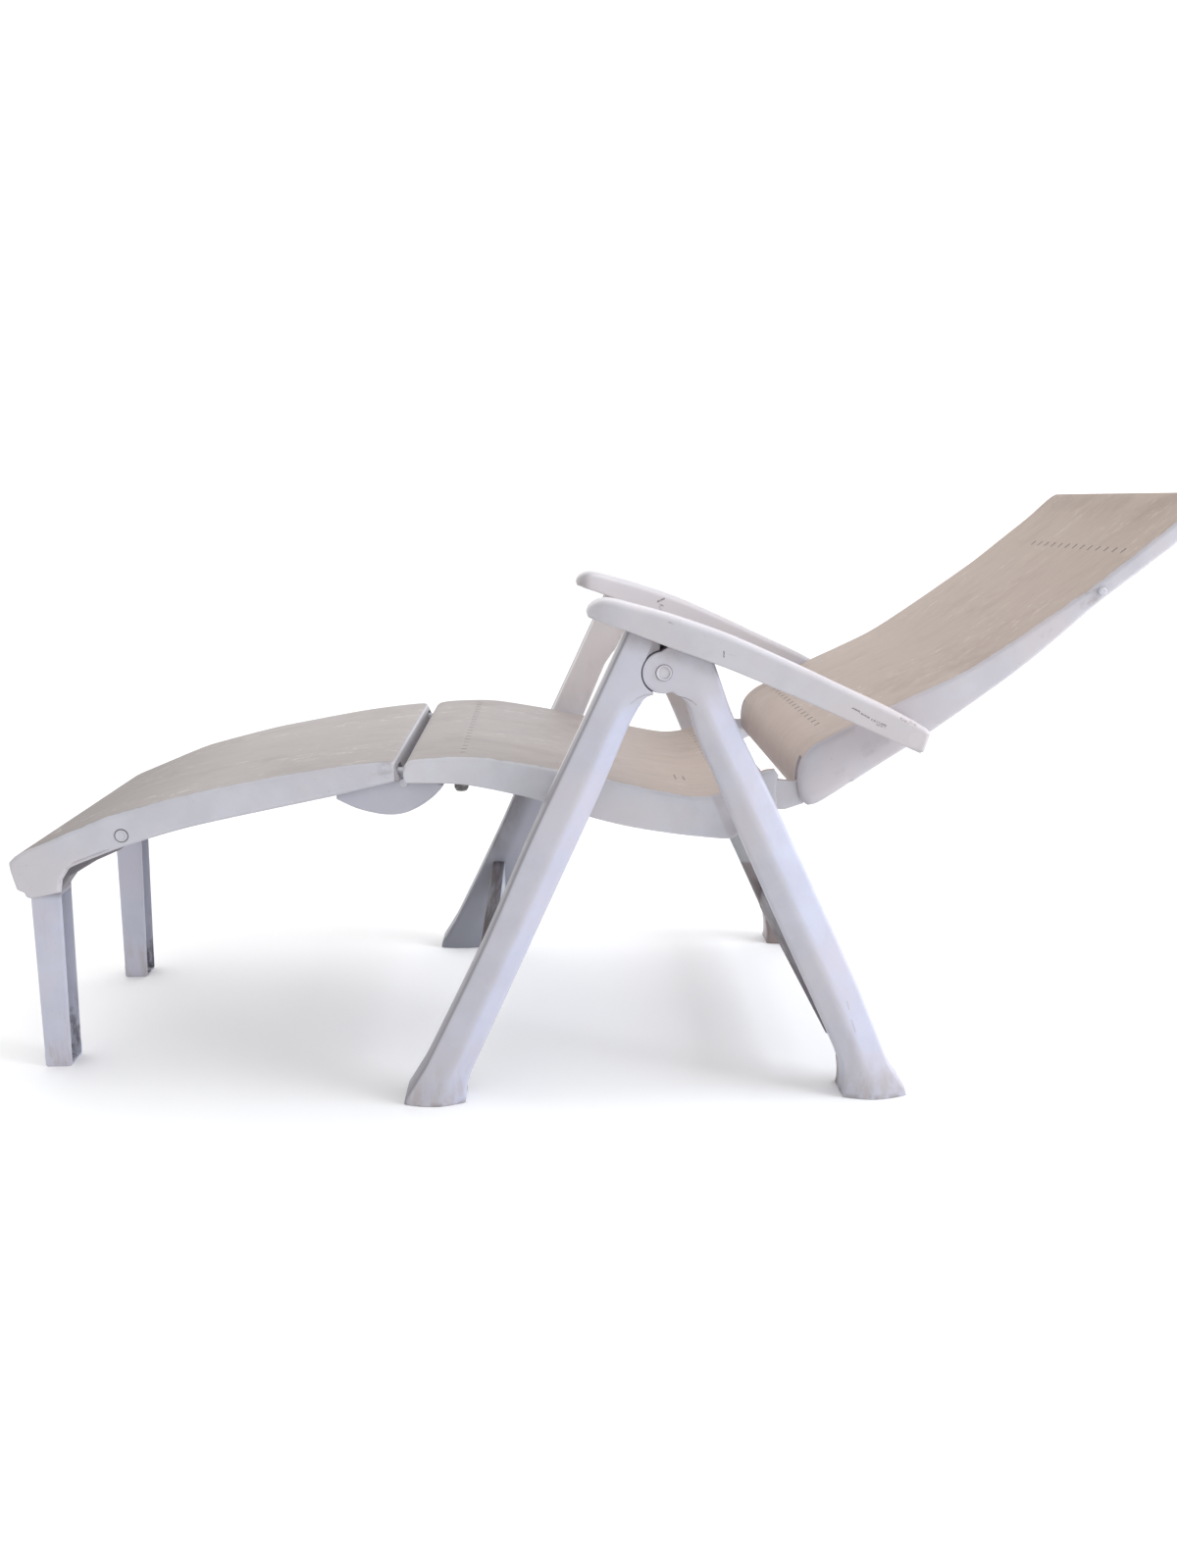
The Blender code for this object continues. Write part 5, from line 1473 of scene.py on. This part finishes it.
# painted shade: the lobe sits in the shade of the footrest, so its colour is
# darkened to a mottled blue-grey
M_LOBE = white_resin("lobe_resin", lambda w: [
    (w.ramp(w.noise(14.0, 4.0, 0.6), 0.25, 0.65, 0.6, 1.0),
     (0.375, 0.380, 0.440), 0.75)], 0.2)
M_STAND = white_resin("stand_resin", stand_marks, 0.45,
                      streaks=(60.0, 60.0, 9.0), tint=(1.0, 1.03, 1.12))
M_PIN = white_resin("pin_resin", None, 0.5)
M_SEAT = panel_resin("seat_resin", seat_soil, (0.0, -0.05, 1.0),
                     (0.52, 0.49, 0.49), 0.60, seat_marks,
                     side=(1.10, 1.11, 1.10))
M_BACK = panel_resin("backrest_resin", backrest_soil, (0.0, -0.62, 0.785),
                     (0.56, 0.50, 0.46), 0.55, back_marks,
                     side=(0.98, 0.96, 0.95), wrap=0.53)
M_FOOT = panel_resin("footrest_resin", foot_soil, (0.0, -0.25, 0.968),
                     (0.56, 0.53, 0.52), 0.85, foot_marks)
M_DARK = dark_rubber("buffer_rubber")

dress(seat, M_SEAT, "seat", ("seat_panel",))
dress(back, M_BACK, "backrest", ("backrest_panel",))
dress(foot, M_FOOT, "footrest", ("footrest_panel",))
for ob, nm, mat, bodies, slot_name, node in (
        (front_left, "front_leg_bar", M_FRONT, ("front_frame",) * 2,
         "frame_resin", "front_leg"),
        (rear_left, "rear_leg_bar", M_REAR, ("rear_frame",) * 2,
         "frame_resin", "rear_leg"),
        (arm_left, "armrest_shell", M_ARM, ("arm_left", "arm_right"),
         "frame_resin", "armrest"),
        (lobe_left, "footrest_bracket", M_LOBE, ("footrest",) * 2,
         "frame_resin", "footrest_hinge_lobe"),
        (stand_left, "footrest_stand", M_STAND, ("footrest_legs",) * 2,
         "frame_resin", "footrest_leg"),
        (cap_left, "frame_pivot_cap", M_PIN, ("front_frame",) * 2,
         "pin_resin", "frame_pivot_pin"),
        (stand_pin_left, "footrest_leg_cap", M_PIN, ("footrest",) * 2,
         "pin_resin", "footrest_leg_pin")):
    ob.name = nm + "_left"
    ob.data.name = ob.name
    right = mirrored(ob, nm + "_right")
    if nm == "front_leg_bar":
        for v in right.data.vertices:
            z = v.co.z
            q = across(v.co.y + U_MID, z, FL_Z, FL_U, FR_Z, FR_U)
            k = np.interp(z, [0.15, 0.28, 0.54, 0.566], [0.0, 1.0, 1.0, 0.0])
            v.co.y -= float(0.0052 * k * np.clip(q, 0, 1))
    dress(ob, mat, bodies[0], (node + "_left",))
    dress(right, mat, bodies[1], (node + "_right",))
dress(front_bar, M_RAIL, "front_frame", ("front_crossbar",))
dress(rear_bar, M_RAIL, "rear_frame", ("rear_crossbar",))
dress(tie, M_STAND, "footrest_legs", ("footrest_leg_tie",))

for n, ob in NODES.items():
    if "buffer" in n:
        mat = M_DARK
    elif "pin" in n or "peg" in n or "rack" in n:
        mat = M_PIN
    else:
        continue
    for s in ob.material_slots:
        s.material = mat


# ------------------------------------------------------------------ studio
WORLD_NEAR, WORLD_FAR = 0.76, 1.42          # towards the camera / behind


def stage():
    bm = bmesh.new()
    bmesh.ops.create_grid(bm, x_segments=2, y_segments=2, size=14.0)
    floor = to_object("floor", bm)
    w = Web("floor_paint")
    w.put(w.bsdf.inputs["Base Color"],
          w.mix(w.ramp(w.noise(1.5, 2.0), 0.3, 0.7), (0.985, 0.985, 0.985),
                (0.975, 0.975, 0.98)))
    w.bsdf.inputs["Roughness"].default_value = 0.9
    w.bsdf.inputs["Specular IOR Level"].default_value = 0.0
    floor.data.materials.append(w.mat)
    world = bpy.data.worlds.new("studio")
    bpy.context.scene.world = world
    world.use_nodes = True
    nt = world.node_tree
    bg = nt.nodes["Background"]
    co = nt.nodes.new("ShaderNodeTexCoord")
    sp = nt.nodes.new("ShaderNodeSeparateXYZ")
    nt.links.new(co.outputs["Generated"], sp.inputs[0])
    mr = nt.nodes.new("ShaderNodeMapRange")
    mr.inputs["From Min"].default_value = 0.25
    mr.inputs["From Max"].default_value = -0.45
    mr.inputs["To Min"].default_value = WORLD_NEAR
    mr.inputs["To Max"].default_value = WORLD_FAR
    nt.links.new(sp.outputs[0], mr.inputs["Value"])
    nt.links.new(mr.outputs[0], bg.inputs["Strength"])
    bg.inputs["Color"].default_value = (1.0, 1.0, 1.0, 1.0)


def area(name, at, to, size, power, rgb):
    ld = bpy.data.lights.new(name, 'AREA')
    ld.shape = 'RECTANGLE'
    ld.size, ld.size_y = size
    ld.energy = power
    ld.color = rgb
    ob = bpy.data.objects.new(name, ld)
    ob.location = at
    d = Vector(to) - Vector(at)
    ob.rotation_euler = d.to_track_quat('-Z', 'Y').to_euler()
    bpy.context.scene.collection.objects.link(ob)


stage()
area("window", (1.5, 5.2, 2.4), (0, 0.1, 0.4), (3.2, 3.0), 270,
     (0.90, 0.94, 1.0))
area("overhead", (0.2, -0.2, 3.2), (0, 0, 0.4), (2.6, 2.6), 9,
     (1.0, 0.985, 0.96))
bpy.context.scene.view_settings.view_transform = 'Standard'
